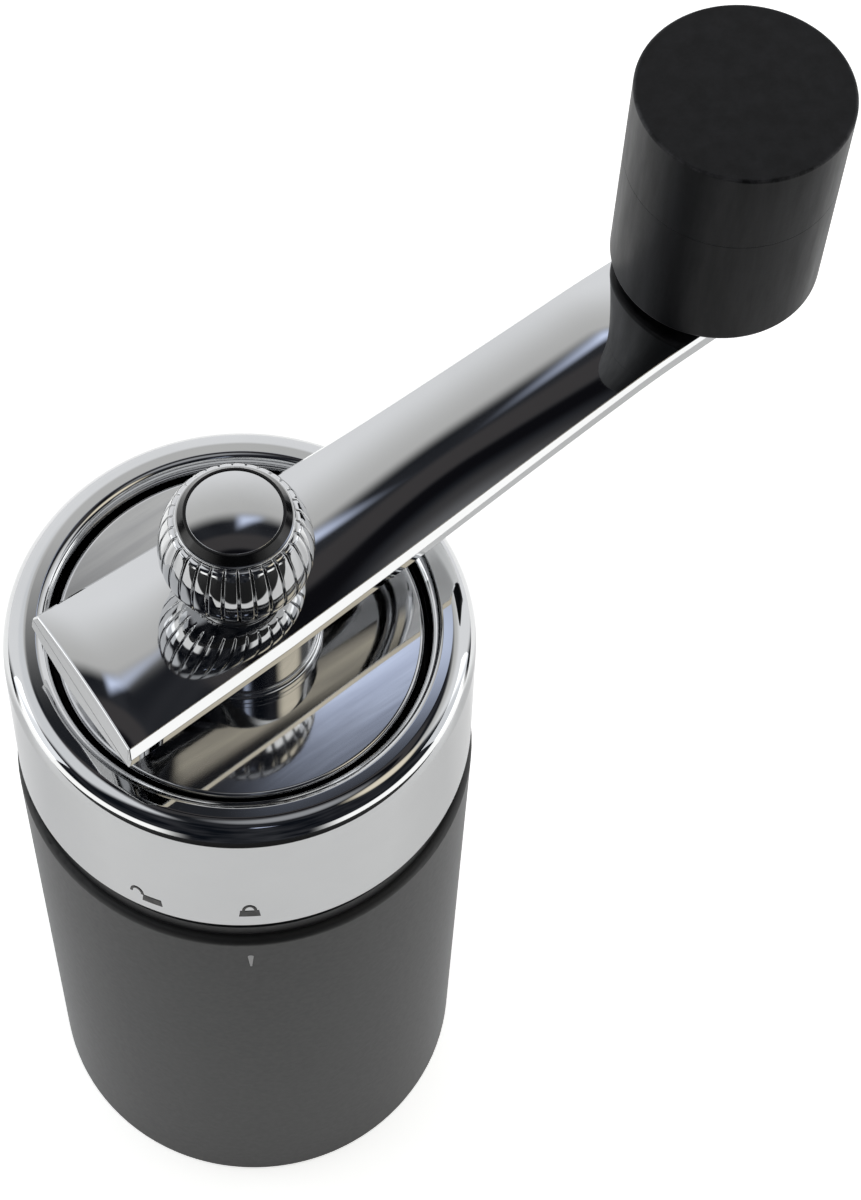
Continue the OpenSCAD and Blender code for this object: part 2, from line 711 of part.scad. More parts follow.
// Shoulder screw that the knob turns on, screwed into the arm
module knob_axle() {
    color("silver") at_knob() {
        translate([0, 0, axle_low_z]) cylinder(r = axle_thread_r, h = axle_thread_l + knob_washer_t);
        translate([0, 0, knob_seat_z]) cylinder(r = axle_r, h = axle_head_z - knob_seat_z);
        translate([0, 0, axle_head_z]) cylinder(r = axle_head_r, h = axle_head_h);
    }
}

// Washer between the arm and the knob
module knob_washer() {
    color("black") at_knob() translate([0, 0, knob_seat_z]) ring(knob_washer_r, axle_r, knob_washer_t);
}

// Round plate that presses on the nutmeg, with a spigot for the spring
module claw_plate() {
    color("black") difference() {
        union() {
            translate([0, 0, claw_z]) cylinder(r = claw_r, h = claw_t);
            translate([0, 0, claw_z])
                cylinder(r = claw_spigot_r, h = claw_t + claw_spigot_h);
        }
        translate([0, 0, claw_z - eps]) cylinder(r = stem_r, h = claw_t + claw_spigot_h + 2 * eps);
        around(spikes, spike_at) translate([0, 0, claw_z - eps])
            cylinder(r = spike_r, h = claw_t + 2 * eps);
    }
}

// Stem fixed in the plate, which slides in the shaft
module claw_stem() {
    color("silver") rotate([0, 0, crank_angle]) difference() {
        translate([0, 0, claw_z]) cylinder(r = stem_r, h = stem_top_z - claw_z);
        translate([-2 * stem_r, 0, pin_z]) rotate([0, 90, 0]) cylinder(r = pin_r, h = 4 * stem_r);
    }
}

// Cross pin that rides in the shaft's slots, so the stem turns with the shaft and can't drop out
module stem_pin() {
    half_l = shaft_r - pass_gap;
    color("silver") rotate([0, 0, crank_angle]) translate([-half_l, 0, pin_z]) rotate([0, 90, 0])
        cylinder(r = pin_r, h = 2 * half_l);
}

// Steel spikes pressed through the plate
module claw_spikes() {
    color("silver") around(spikes, spike_at) {
        translate([0, 0, claw_z]) cylinder(r = spike_r, h = claw_t);
        translate([0, 0, claw_z - spike_l]) cylinder(r1 = spike_tip_r, r2 = spike_r, h = spike_l);
    }
}

// Lower half of the knob, bored for the bush and for the axle's head
module knob_body() {
    color("black") at_knob() difference() {
        translate([0, 0, knob_z]) turned(knob_r, seam_z - knob_z, knob_foot_r, knob_seam_r);
        translate([0, 0, knob_z - eps]) cylinder(r = knob_bush_r, h = knob_h);
        translate([0, 0, pocket_z]) cylinder(r = axle_head_r + pass_gap, h = knob_h);
        translate([0, 0, seam_z - knob_spigot_h]) cylinder(r = knob_spigot_r + seat_gap, h = knob_h);
    }
}

// Upper half of the knob, glued in by its spigot
module knob_cap() {
    color("black") at_knob() difference() {
        union() {
            translate([0, 0, seam_z]) turned(knob_r, knob_cap_h, knob_seam_r, knob_edge_r);
            translate([0, 0, seam_z - knob_spigot_h + seat_gap])
                cylinder(r = knob_spigot_r, h = knob_spigot_h);
        }
        translate([0, 0, seam_z - knob_spigot_h])
            cylinder(r = axle_head_r + pass_gap, h = axle_room_z - seam_z + knob_spigot_h);
    }
}

// Plain bush pressed into the knob
module knob_bush() {
    color("white") at_knob() translate([0, 0, knob_z])
        ring(knob_bush_r, axle_r + run_fit, pocket_z - knob_z);
}

// Captive washer under the cap nut
module nut_washer() {
    color("silver") translate([0, 0, nut_washer_z + face_gap / 2])
        ring(nut_neck_r, stud_r + run_fit, nut_washer_t);
}

// Half section of the nut's barrel: a flat curve above the widest place and a tight one below
module barrel_section(inset) {
    intersection() {
        translate([nut_r - inset - nut_upper_r, nut_waist_z]) circle(r = nut_upper_r, $fn = 180);
        translate([0, nut_waist_z]) square([2 * nut_r, nut_h - nut_waist_z]);
    }
    intersection() {
        union() {
            translate([nut_r - inset - nut_lower_r, nut_waist_z]) circle(r = nut_lower_r, $fn = 120);
            square([nut_r - nut_lower_r, nut_waist_z]);
        }
        square([2 * nut_r, nut_waist_z + eps]);
    }
}

// Thumb nut: fluted barrel on a neck, with a blind thread and a seat for the medallion
module cap_nut() {
    color("gainsboro") difference() {
        union() {
            translate([0, 0, nut_z]) cylinder(r = nut_neck_r, h = nut_neck_h + overlap);
            translate([0, 0, barrel_z]) rotate_extrude() barrel_section(0);
        }
        for (i = [0 : flutes - 1]) rotate([0, 0, (i + 0.5) * 360 / flutes - groove_angle / 2])
            translate([0, 0, barrel_z]) rotate_extrude(angle = groove_angle) difference() {
                translate([nut_neck_r, groove_low]) square([nut_r, nut_h - groove_low - nut_band]);
                barrel_section(groove_depth);
            }
        translate([0, 0, nut_z - eps]) cylinder(r = stud_r + run_fit, h = nut_bore_h);
        translate([0, 0, nut_top_z - medallion_seat]) cylinder(r = medallion_r, h = 2 * medallion_seat);
    }
}

// Black ring on the nut's top, falling away from the medallion
module nut_ring() {
    color("black") translate([0, 0, nut_top_z]) difference() {
        cylinder(r1 = nut_ring_r, r2 = medallion_r + nut_ring_edge, h = nut_ring_h);
        translate([0, 0, -eps]) cylinder(r = medallion_r, h = 2 * nut_ring_h);
    }
}

// Domed disc in the nut's top
module nut_medallion() {
    dome_r = (pow(medallion_r, 2) + pow(medallion_dome, 2)) / (2 * medallion_dome);
    rim_h = medallion_seat + nut_ring_h - medallion_sink;
    color("gainsboro") translate([0, 0, nut_top_z - medallion_seat]) intersection() {
        cylinder(r = medallion_r, h = rim_h + medallion_dome);
        translate([0, 0, rim_h + medallion_dome - dome_r]) sphere(r = dome_r);
    }
}

body_shell();
inner_sleeve();
bayonet_collar();
neck_seal();
grater_plate();
grater_screws();
base_screws();
head_ring();
head_carrier();
bearing_bush();
drive_shaft();
thrust_washer();
shaft_circlip();
spring_seat();
claw_spring();
cover_disc();
hub_boss();
crank_arm();
knob_axle();
knob_washer();
claw_plate();
claw_stem();
stem_pin();
claw_spikes();
knob_body();
knob_cap();
knob_bush();
nut_washer();
cap_nut();
nut_ring();
nut_medallion();
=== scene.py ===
import bpy
import math
from mathutils import Matrix, Vector


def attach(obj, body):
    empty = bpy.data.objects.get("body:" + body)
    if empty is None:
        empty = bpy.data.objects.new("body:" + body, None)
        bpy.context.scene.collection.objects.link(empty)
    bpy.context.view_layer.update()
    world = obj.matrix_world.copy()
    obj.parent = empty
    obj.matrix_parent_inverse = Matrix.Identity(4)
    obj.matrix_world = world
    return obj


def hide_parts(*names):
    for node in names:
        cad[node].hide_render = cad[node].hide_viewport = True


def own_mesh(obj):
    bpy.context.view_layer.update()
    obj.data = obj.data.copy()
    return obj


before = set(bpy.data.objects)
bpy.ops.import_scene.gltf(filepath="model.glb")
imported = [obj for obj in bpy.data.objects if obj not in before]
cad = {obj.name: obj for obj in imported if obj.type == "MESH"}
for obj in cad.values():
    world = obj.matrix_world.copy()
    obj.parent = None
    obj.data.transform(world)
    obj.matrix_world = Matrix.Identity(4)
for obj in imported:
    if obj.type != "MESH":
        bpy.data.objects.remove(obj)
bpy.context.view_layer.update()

# Outer body: a moulded plastic tube with a soft-touch coat, drawn in at the foot to the lip that it
# stands on. Screws through the lip hold it to the chamber's sleeve. The CAD solid is shown as it is,
# and the coat has a fine dry grain and a slow cloudy drift of its grey.
MM = 0.001
NOISE, SLOW_NOISE = (0.3, 0.7), (0.35, 0.65)
CLOUD_SCALE, GRAIN_DEPTH = 60.0, 0.05


def shader_group(name, inputs, outputs):
    """An empty shader group with number inputs, given with their first values, and number outputs."""
    tree = bpy.data.node_groups.new(name, "ShaderNodeTree")
    for label, value in inputs:
        socket = tree.interface.new_socket(name=label, in_out="INPUT", socket_type="NodeSocketFloat")
        socket.default_value = value
    for label in outputs:
        tree.interface.new_socket(name=label, in_out="OUTPUT", socket_type="NodeSocketFloat")
    return tree, tree.nodes.new("NodeGroupInput").outputs, tree.nodes.new("NodeGroupOutput").inputs


def put(tree, kind, links=(), **values):
    """Adds a node: links are (input, source socket) pairs, values are its settings or its input values."""
    made = tree.nodes.new(kind)
    for key, value in values.items():
        if hasattr(made, key):
            setattr(made, key, value)
        else:
            made.inputs[key.replace("_", " ")].default_value = value
    for socket, source in links:
        tree.links.new(source, made.inputs[socket])
    return made


def spread(tree, source, low, high, to_low=0.0, to_high=1.0):
    """Stretches the part of a value between low and high to the range to_low to to_high."""
    made = put(tree, "ShaderNodeMapRange", [("Value", source)], From_Min=low, From_Max=high)
    made.inputs["To Min"].default_value, made.inputs["To Max"].default_value = to_low, to_high
    return made.outputs["Result"]


def two_tone(tree, mask, first, second):
    """Colour that goes from first to second with a mask."""
    made = put(tree, "ShaderNodeMix", [(0, mask)], data_type="RGBA")
    made.inputs[6].default_value, made.inputs[7].default_value = (*first, 1), (*second, 1)
    return made.outputs[2]


def new_finish(name, **shader_values):
    """A material with one Principled shader whose uniform values are set on its own sockets."""
    made = bpy.data.materials.new(name)
    made.use_nodes = True
    shader = made.node_tree.nodes["Principled BSDF"]
    for key, value in shader_values.items():
        shader.inputs[key.replace("_", " ")].default_value = value
    return made, made.node_tree, shader.inputs


def raise_bump(tree, shader, height, strength, depth):
    """Raises the surface by a height value, with its full depth in millimetres."""
    raised = put(tree, "ShaderNodeBump", [("Height", height)], Strength=strength, Distance=depth * MM)
    tree.links.new(raised.outputs["Normal"], shader["Normal"])


def moulded_grain_group():
    """Grain of a moulded or coated plastic: a slow cloudy tone and a fine grain."""
    tree, given, out = shader_group("moulded_grain", [("Size", 1000.0)], ["Tone", "Grain"])
    place = put(tree, "ShaderNodeTexCoord").outputs["Object"]
    cloud = put(tree, "ShaderNodeTexNoise", [("Vector", place)], Scale=CLOUD_SCALE, Detail=4.0)
    grain = put(tree, "ShaderNodeTexNoise", [("Vector", place), ("Scale", given["Size"])], Detail=3.0)
    tree.links.new(spread(tree, cloud.outputs["Fac"], *SLOW_NOISE), out["Tone"])
    tree.links.new(grain.outputs["Fac"], out["Grain"])
    return tree


moulded_grain = moulded_grain_group()


def plastic(name, dark, pale, gloss, size, bump, **shader_values):
    """A moulded or coated plastic: colour and gloss drift with the grain, which also raises a bump."""
    made, tree, shader = new_finish(name, **shader_values)
    grain = put(tree, "ShaderNodeGroup", node_tree=moulded_grain, Size=size)
    tree.links.new(two_tone(tree, grain.outputs["Tone"], dark, pale), shader["Base Color"])
    tree.links.new(spread(tree, grain.outputs["Grain"], *NOISE, *gloss), shader["Roughness"])
    raise_bump(tree, shader, grain.outputs["Grain"], bump, GRAIN_DEPTH)
    return made


def dress(material, *names):
    """Gives CAD nodes a material in place of their plain one."""
    for name in names:
        cad[name].data.materials.clear()
        cad[name].data.materials.append(material)


soft_touch = plastic(
    "soft_touch_grey", dark=(0.011, 0.0111, 0.0113), pale=(0.013, 0.0131, 0.0133),
    gloss=(0.48, 0.53), size=1400.0, bump=0.03, Sheen_Weight=0.46, Sheen_Roughness=0.21)
dress(soft_touch, "body_shell")

# Chamber: a grey moulded sleeve with the ledge that the grater lies on, and the punched steel grater
# with its pan-head screws. They are seen through the foot and stay as their CAD solids.
DRIFT_SCALE, TOOL_LINE_DEPTH = 140.0, 0.02
sleeve_plastic = plastic(
    "sleeve_grey", dark=(0.20, 0.20, 0.20), pale=(0.25, 0.25, 0.245),
    gloss=(0.42, 0.55), size=700.0, bump=0.3)
dress(sleeve_plastic, "inner_sleeve")


def turning_lines_group():
    """Fine tool lines round the upright axis, on faces and on sides alike, broken up by a slow noise."""
    tree, given, out = shader_group("turning_lines", [("Lines", 4000.0)], ["Line", "Drift"])
    place = put(tree, "ShaderNodeTexCoord").outputs["Object"]
    parts = put(tree, "ShaderNodeSeparateXYZ", [(0, place)]).outputs
    flat = put(tree, "ShaderNodeCombineXYZ", [("X", parts["X"]), ("Y", parts["Y"])])
    radius = put(tree, "ShaderNodeVectorMath", [(0, flat.outputs[0])], operation="LENGTH").outputs["Value"]
    along = put(tree, "ShaderNodeMath", [(0, radius), (1, parts["Z"])], operation="ADD").outputs[0]
    lines = put(tree, "ShaderNodeTexNoise", [("W", along), ("Scale", given["Lines"])], noise_dimensions="1D")
    drift = put(tree, "ShaderNodeTexNoise", [("Vector", place)], Scale=DRIFT_SCALE, Detail=3.0)
    tree.links.new(lines.outputs["Fac"], out["Line"])
    tree.links.new(spread(tree, drift.outputs["Fac"], *SLOW_NOISE), out["Drift"])
    return tree


turning_lines = turning_lines_group()


def turned_metal(name, dark, pale, gloss, lines, bump):
    """Turned or rolled metal: tool lines in its gloss and a faint bump, and a slow drift of its colour."""
    made, tree, shader = new_finish(name, Metallic=1.0)
    tooled = put(tree, "ShaderNodeGroup", node_tree=turning_lines, Lines=lines)
    tree.links.new(two_tone(tree, tooled.outputs["Drift"], dark, pale), shader["Base Color"])
    tree.links.new(spread(tree, tooled.outputs["Line"], *NOISE, *gloss), shader["Roughness"])
    raise_bump(tree, shader, tooled.outputs["Line"], bump, TOOL_LINE_DEPTH)
    return made


grater_steel = turned_metal(
    "grater_steel", dark=(0.48, 0.48, 0.48), pale=(0.58, 0.58, 0.57),
    gloss=(0.22, 0.36), lines=2500.0, bump=0.3)
steel = turned_metal(
    "turned_steel", dark=(0.42, 0.42, 0.42), pale=(0.52, 0.52, 0.51),
    gloss=(0.20, 0.34), lines=6000.0, bump=0.4)
dress(grater_steel, "grater_plate")
dress(steel, "grater_screws", "base_screws")

# Collar: black moulded plastic, pushed on the sleeve and into the shell. Its flange shows as the dark
# gap under the head, with the bayonet's slots above and a rubber ring that the head presses on.
black_plastic = plastic(
    "moulded_black", dark=(0.012, 0.012, 0.013), pale=(0.017, 0.017, 0.018),
    gloss=(0.38, 0.5), size=900.0, bump=0.3)
seal_rubber = plastic(
    "seal_rubber", dark=(0.012, 0.012, 0.0125), pale=(0.017, 0.017, 0.0175),
    gloss=(0.6, 0.75), size=500.0, bump=0.4)
dress(black_plastic, "bayonet_collar")
dress(seal_rubber, "neck_seal")

# Head: a chromed shell with a drafted side, a round shoulder and a crown that falls to an inner lip.
# The black carrier inside it holds the bearing's brass bush and the bayonet's lugs.
HEAD_LOW, HEAD_TOP, HEAD_R, HEAD_TOP_R, HEAD_BORE_R = 79.1, 100.1, 25.0, 24.7, 23.4
LIP_TOP_R, LIP_R, LIP_Z, LIP_LOW = 20.35, 19.8, 98.2, 97.1
HEAD_FOOT_ROUND, SHOULDER_R, LIP_ROUND, LIP_BEND, CROWN_CORNER = 0.25, 2.6, 1.2, 0.4, 0.3
BROKEN_EDGE, ARC_STEP = 0.15, math.radians(6)
CRANK_ANGLE = math.radians(33.8)
SMEARED, HAIR_STRETCH, SCRATCH_DEPTH = (0.42, 0.72), (0.1, 1.0, 1.0), 0.01


def rounded(corners, closed=True, steps=None):
    """Points (r, z, normal r, normal z) along an outline whose corners are (r, z, rounding).
    The outline runs with the solid on its left. A corner with no rounding is a point of a smooth curve."""
    count = len(corners)
    made = []
    for i, (r, z, rounding) in enumerate(corners):
        here = Vector((r, z))
        came = here - Vector(corners[i - 1][:2])
        goes = Vector(corners[(i + 1) % count][:2]) - here
        if not closed and i == 0:
            came = goes
        if not closed and i == count - 1:
            goes = came
        came, goes = came.normalized(), goes.normalized()
        turn = math.atan2(came.x * goes.y - came.y * goes.x, came.dot(goes))
        start = math.atan2(-came.x, came.y)
        if not rounding or abs(turn) < 1e-6:
            middle = start + turn / 2
            made.append((r, z, math.cos(middle), math.sin(middle)))
            continue
        side = math.copysign(rounding, turn)
        tangent = here - came * rounding * math.tan(abs(turn) / 2)
        centre = tangent - Vector((math.cos(start), math.sin(start))) * side
        arcs = steps or max(2, math.ceil(abs(turn) / ARC_STEP))
        for k in range(arcs + 1):
            angle = start + turn * k / arcs
            across = Vector((math.cos(angle), math.sin(angle)))
            made.append((*(centre + across * side), across.x, across.y))
    return made


def shaded(name, points, normals, faces):
    """A smooth mesh object from points in millimetres and, where given, its exact normals."""
    mesh = bpy.data.meshes.new(name)
    mesh.from_pydata([Vector(p) * MM for p in points], [], faces)
    mesh.polygons.foreach_set("use_smooth", [True] * len(mesh.polygons))
    if normals:
        mesh.normals_split_custom_set_from_vertices(normals)
    mesh.update()
    made = bpy.data.objects.new(name, mesh)
    bpy.context.scene.collection.objects.link(made)
    return made


def turned(name, outline, closed=True, centre=(0.0, 0.0), segments=180):
    """A piece turned on a lathe: the outline swept round an upright axis."""
    points, normals, rows, faces = [], [], [], []
    for r, z, nr, nz in outline:
        around = segments if r > 1e-6 else 1
        rows.append([len(points) + j % around for j in range(segments)])
        for j in range(around):
            c, s = math.cos(2 * math.pi * j / segments), math.sin(2 * math.pi * j / segments)
            points.append((centre[0] + r * c, centre[1] + r * s, z))
            on_axis = (0, 0, math.copysign(1, nz))
            normals.append(Vector((nr * c, nr * s, nz)).normalized() if around > 1 else on_axis)
    for i in range(len(rows) if closed else len(rows) - 1):
        low, high = rows[i], rows[(i + 1) % len(rows)]
        for j in range(segments):
            k = (j + 1) % segments
            corners = list(dict.fromkeys((low[j], low[k], high[k], high[j])))
            if len(corners) > 2:
                faces.append(corners)
    return shaded(name, points, normals, faces)


def vector_step(tree, operation, source, amount):
    """A calculation with a vector and a fixed second vector."""
    made = put(tree, "ShaderNodeVectorMath", [(0, source)], operation=operation)
    made.inputs[1].default_value = amount
    return made.outputs[0]


def handling_marks_group():
    """Marks on polished metal: faint smears from wiping, and hair scratches that run along the arm."""
    sizes = [("Smears", 45.0), ("Hairs", 420.0)]
    tree, given, out = shader_group("handling_marks", sizes, ["Smear", "Hair"])
    place = put(tree, "ShaderNodeTexCoord").outputs["Object"]
    smear = put(tree, "ShaderNodeTexNoise", [("Vector", place), ("Scale", given["Smears"])], Detail=5.0)
    wiped = put(
        tree, "ShaderNodeVectorRotate", [("Vector", place)], rotation_type="Z_AXIS", Angle=-CRANK_ANGLE)
    drawn = vector_step(tree, "MULTIPLY", wiped.outputs[0], HAIR_STRETCH)
    hair = put(tree, "ShaderNodeTexNoise", [("Vector", drawn), ("Scale", given["Hairs"])], Detail=2.0)
    tree.links.new(spread(tree, smear.outputs["Fac"], *SMEARED), out["Smear"])
    tree.links.new(spread(tree, hair.outputs["Fac"], *NOISE), out["Hair"])
    return tree


handling_marks = handling_marks_group()


def chromed(
        name, bright=(0.60, 0.605, 0.61), dull=(0.56, 0.565, 0.57), gloss=(0.025, 0.075),
        smears=45.0, bump=0.02, hairs=420.0, tone="Smear"):
    """Polished chrome plate, with smears in its gloss and hair scratches as a very faint bump. Its tone
    drifts with the smears or with the hair scratches."""
    made, tree, shader = new_finish(name, Metallic=1.0)
    marks = put(tree, "ShaderNodeGroup", node_tree=handling_marks, Smears=smears, Hairs=hairs)
    tree.links.new(two_tone(tree, marks.outputs[tone], bright, dull), shader["Base Color"])
    tree.links.new(spread(tree, marks.outputs["Smear"], 0.0, 1.0, *gloss), shader["Roughness"])
    raise_bump(tree, shader, marks.outputs["Hair"], bump, SCRATCH_DEPTH)
    return made


def fit(piece, material, body, slot, *names):
    """Finishes a piece, sets it on its body and puts it in the place of the CAD nodes it stands for."""
    piece.data.materials.append(material)
    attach(piece, body)
    if names:
        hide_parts(*names)
    return piece


head_outline = rounded([
    (HEAD_BORE_R, HEAD_LOW, BROKEN_EDGE),
    (HEAD_R, HEAD_LOW, HEAD_FOOT_ROUND),
    (HEAD_TOP_R, HEAD_TOP, SHOULDER_R),
    (LIP_TOP_R, HEAD_TOP, LIP_ROUND),
    (LIP_R, LIP_Z, LIP_BEND),
    (LIP_R, LIP_LOW, BROKEN_EDGE),
    (HEAD_BORE_R, LIP_LOW, CROWN_CORNER),
])
head_chrome = chromed("head_chrome")
fit(turned("head_shell", head_outline, segments=240), head_chrome, "head", "polished_chrome", "head_ring")
brass = turned_metal(
    "bush_brass", dark=(0.52, 0.36, 0.13), pale=(0.62, 0.44, 0.18),
    gloss=(0.24, 0.38), lines=5000.0, bump=0.4)
dress(black_plastic, "head_carrier")
dress(brass, "bearing_bush")

# Shaft: turned steel, hollow below for the claw's stem, held up in the bush by a circlip and a nylon
# washer. Only its ends are seen, so the CAD solids stay with a turned finish.
nylon = plastic(
    "white_nylon", dark=(0.66, 0.66, 0.63), pale=(0.74, 0.74, 0.71),
    gloss=(0.4, 0.52), size=600.0, bump=0.2, Subsurface_Weight=0.1)
dress(steel, "drive_shaft", "shaft_circlip", "spring_seat")
dress(nylon, "thrust_washer")

# Spring: hard-drawn round wire wound into an open coil, set between the seat on the shaft and the
# claw's plate.
COIL_R, WIRE_R, COIL_TURNS, COIL_LOW, COIL_HIGH, SEAT_Z = 6.1, 0.6, 11, 21.7, 82.1, 82.7


def coil(name, per_turn=36, sides=14):
    """Round wire along a helix, with flat cut ends."""
    rings = COIL_TURNS * per_turn
    pitch = (COIL_HIGH - COIL_LOW) / COIL_TURNS
    points, normals, faces = [], [], []
    for k in range(rings + 1):
        turn = 2 * math.pi * k / per_turn
        out = Vector((math.cos(turn), math.sin(turn), 0))
        run = Vector((-COIL_R * out.y, COIL_R * out.x, pitch / (2 * math.pi))).normalized()
        side = run.cross(out)
        height = COIL_LOW + pitch * k / per_turn
        for j in range(sides):
            angle = 2 * math.pi * j / sides
            normal = out * math.cos(angle) - side * math.sin(angle)
            points.append(out * COIL_R + Vector((0, 0, height)) + normal * WIRE_R)
            normals.append(normal)
    for k in range(rings):
        for j in range(sides):
            a, b = k * sides + j, k * sides + (j + 1) % sides
            faces.append((a, a + sides, b + sides, b))
    faces.append(tuple(range(sides)))
    faces.append(tuple(reversed(range(rings * sides, (rings + 1) * sides))))
    return shaded(name, points, normals, faces)


spring_steel = turned_metal(
    "spring_wire", dark=(0.40, 0.40, 0.41), pale=(0.50, 0.50, 0.50),
    gloss=(0.2, 0.3), lines=3000.0, bump=0.2)
spring = fit(coil("claw_coil"), spring_steel, "crank", "steel", "claw_spring")
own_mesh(spring)

# Claw: a black moulded plate on a steel stem that slides in the shaft, held by a cross pin, with
# steel spikes pressed through it that grip the nutmeg. The plate's edges are rounded as moulded, and its
# spigot stops just short of the shaft's end when the claw is all the way up.
CLAW_LOW, CLAW_TOP, SPIGOT_TOP = 18.0, 21.0, 23.9
CLAW_R, SPIGOT_R, STEM_R = 13.0, 4.8, 2.5
FINE_EDGE, CLAW_LOW_ROUND, CLAW_TOP_ROUND, SPIGOT_FILLET, SPIGOT_ROUND = 0.1, 0.5, 0.6, 0.2, 0.3
claw_outline = rounded([
    (STEM_R, CLAW_LOW, FINE_EDGE),
    (CLAW_R, CLAW_LOW, CLAW_LOW_ROUND),
    (CLAW_R, CLAW_TOP, CLAW_TOP_ROUND),
    (SPIGOT_R, CLAW_TOP, SPIGOT_FILLET),
    (SPIGOT_R, SPIGOT_TOP, SPIGOT_ROUND),
    (STEM_R, SPIGOT_TOP, FINE_EDGE),
])
fit(turned("claw_pad", claw_outline), black_plastic, "claw", "black_plastic", "claw_plate")
dress(steel, "claw_stem", "stem_pin", "claw_spikes")

# Cover disc and boss: a polished disc keyed on the shaft, set a little below the head's crown with a
# narrow groove round it, and a turned chromed boss with a foot flange that carries the arm.
DISC_LOW, DISC_TOP, DISC_R = 97.4, 98.8, 19.3
BOSS_R, BOSS_FOOT_R, BOSS_FOOT_TOP, BOSS_TOP = 8.2, 8.7, 100.1, 105.3
DISC_ROUND, BOSS_FOOT_ROUND, BOSS_FILLET = 0.5, 0.5, 0.25
disc_outline = rounded([
    (0, DISC_LOW, 0),
    (DISC_R, DISC_LOW, FINE_EDGE),
    (DISC_R, DISC_TOP, DISC_ROUND),
    (0, DISC_TOP, 0),
], False)
boss_outline = rounded([
    (0, DISC_TOP, 0),
    (BOSS_FOOT_R, DISC_TOP, FINE_EDGE),
    (BOSS_FOOT_R, BOSS_FOOT_TOP, BOSS_FOOT_ROUND),
    (BOSS_R, BOSS_FOOT_TOP, BOSS_FILLET),
    (BOSS_R, BOSS_TOP, FINE_EDGE),
    (0, BOSS_TOP, 0),
], False)
disc_chrome = chromed(
    "disc_chrome", bright=(0.65, 0.655, 0.66), dull=(0.52, 0.525, 0.54), gloss=(0.045, 0.10),
    smears=90.0, bump=0.06, hairs=700.0, tone="Hair")
disc = turned("polished_disc", disc_outline, False, segments=240)
fit(disc, disc_chrome, "crank", "polished_chrome", "cover_disc")
boss_chrome = chromed("boss_chrome", gloss=(0.07, 0.14), smears=90.0)
fit(turned("arm_boss", boss_outline, False), boss_chrome, "crank", "polished_chrome", "hub_boss")

# Crank arm: a chromed bar with a crowned top, bevelled edges and a round belly. It is wide over the
# hub, draws in towards the knob and climbs to it in a long sweep. Its tail is cut off a little askew
# with the end face leaning out below, and the crown is polished down towards that end.
CRANK_L, ARM_TAIL = 63.2, 19.1
ARM_HUB_W, ARM_TIP_W, ARM_WAIST, TIP_BLUNT, TIP_SHORT = 8.9, 6.8, 0.4, 1.2, 0.05
ARM_Z, ARM_SLOPE, ARM_SIDE = 108.8, 0.082, 2.1
BEVEL_IN, BEVEL_DOWN, BEVEL_AT_TIP = 0.66, 1.0, 0.42
CROWN, BELLY, ARM_EDGE_R = 0.85, 2.6, 0.12
CLIMB_FROM, CLIMB_EASE, LEVEL_FROM, LEVEL_EASE = 0, 28, 46, 8
TAIL_EASE, TAIL_BELLY, TAIL_FLAT, TAIL_CROWN = 7.5, 0.8, 15.0, 0.42
TAIL_POLISH, TAIL_SKEW, TAIL_LEAN, TAIL_EDGE_R = 0.095, 0.073, 0.3, 0.2
POLISH_REACH, POLISH_TURNS, POLISH_TURN_REACH, POLISH_BACK = 12, 15.5, 5, 1.2
SKEW_FROM, SKEW_REACH, LEAN_REACH = 6, 13, 5


def eased(x, start, length):
    """How far a slope that sets in softly over a length has climbed at x, for a final slope of 1."""
    t = max(0.0, (x - start) / length)
    return length * (t ** 3 - t ** 4 / 2 if t < 1 else t - 0.5)


def smooth(t):
    """The slope of that climb: a soft step from 0 to 1."""
    t = min(1.0, max(0.0, t))
    return t * t * (3 - 2 * t)


def arm_section(x, rows=28):
    """Closed section of the arm at x along it: (y, z, normal y, normal z)."""
    z = ARM_Z + ARM_SLOPE * (eased(x, CLIMB_FROM, CLIMB_EASE) - eased(x, LEVEL_FROM, LEVEL_EASE))
    along = min(1.0, max(0.0, x / CRANK_L))
    if x > CRANK_L:
        w = math.sqrt(max(TIP_BLUNT, ARM_TIP_W ** 2 - (x - CRANK_L) ** 2))
    else:
        w = ARM_HUB_W - (ARM_HUB_W - ARM_TIP_W) * x / CRANK_L - 4 * ARM_WAIST * along * (1 - along)
    bevel = 1 - (1 - BEVEL_AT_TIP) * along
    full = (w / ARM_HUB_W) ** 2
    crown = CROWN * full - (CROWN * full - TAIL_CROWN) * (1 - min(1.0, (x + ARM_TAIL) / TAIL_FLAT))
    belly = BELLY * full - (BELLY * full - TAIL_BELLY) * (1 - min(1.0, (x + ARM_TAIL) / TAIL_EASE)) ** 2
    top, low = w - BEVEL_IN * bevel, z - ARM_SIDE
    across = [1 - 2 * k / rows for k in range(rows + 1)]
    corners = [(top * k, z + crown * (1 - k * k), 0) for k in across]
    corners += [(-w, z - BEVEL_DOWN * bevel, ARM_EDGE_R)]
    corners += [(-w * k, low - belly * (1 - k * k), 0) for k in across]
    corners += [(w, z - BEVEL_DOWN * bevel, ARM_EDGE_R)]
    for k in (0, rows, rows + 2, 2 * rows + 2):
        corners[k] = (*corners[k][:2], ARM_EDGE_R)
    return rounded(corners, steps=4)


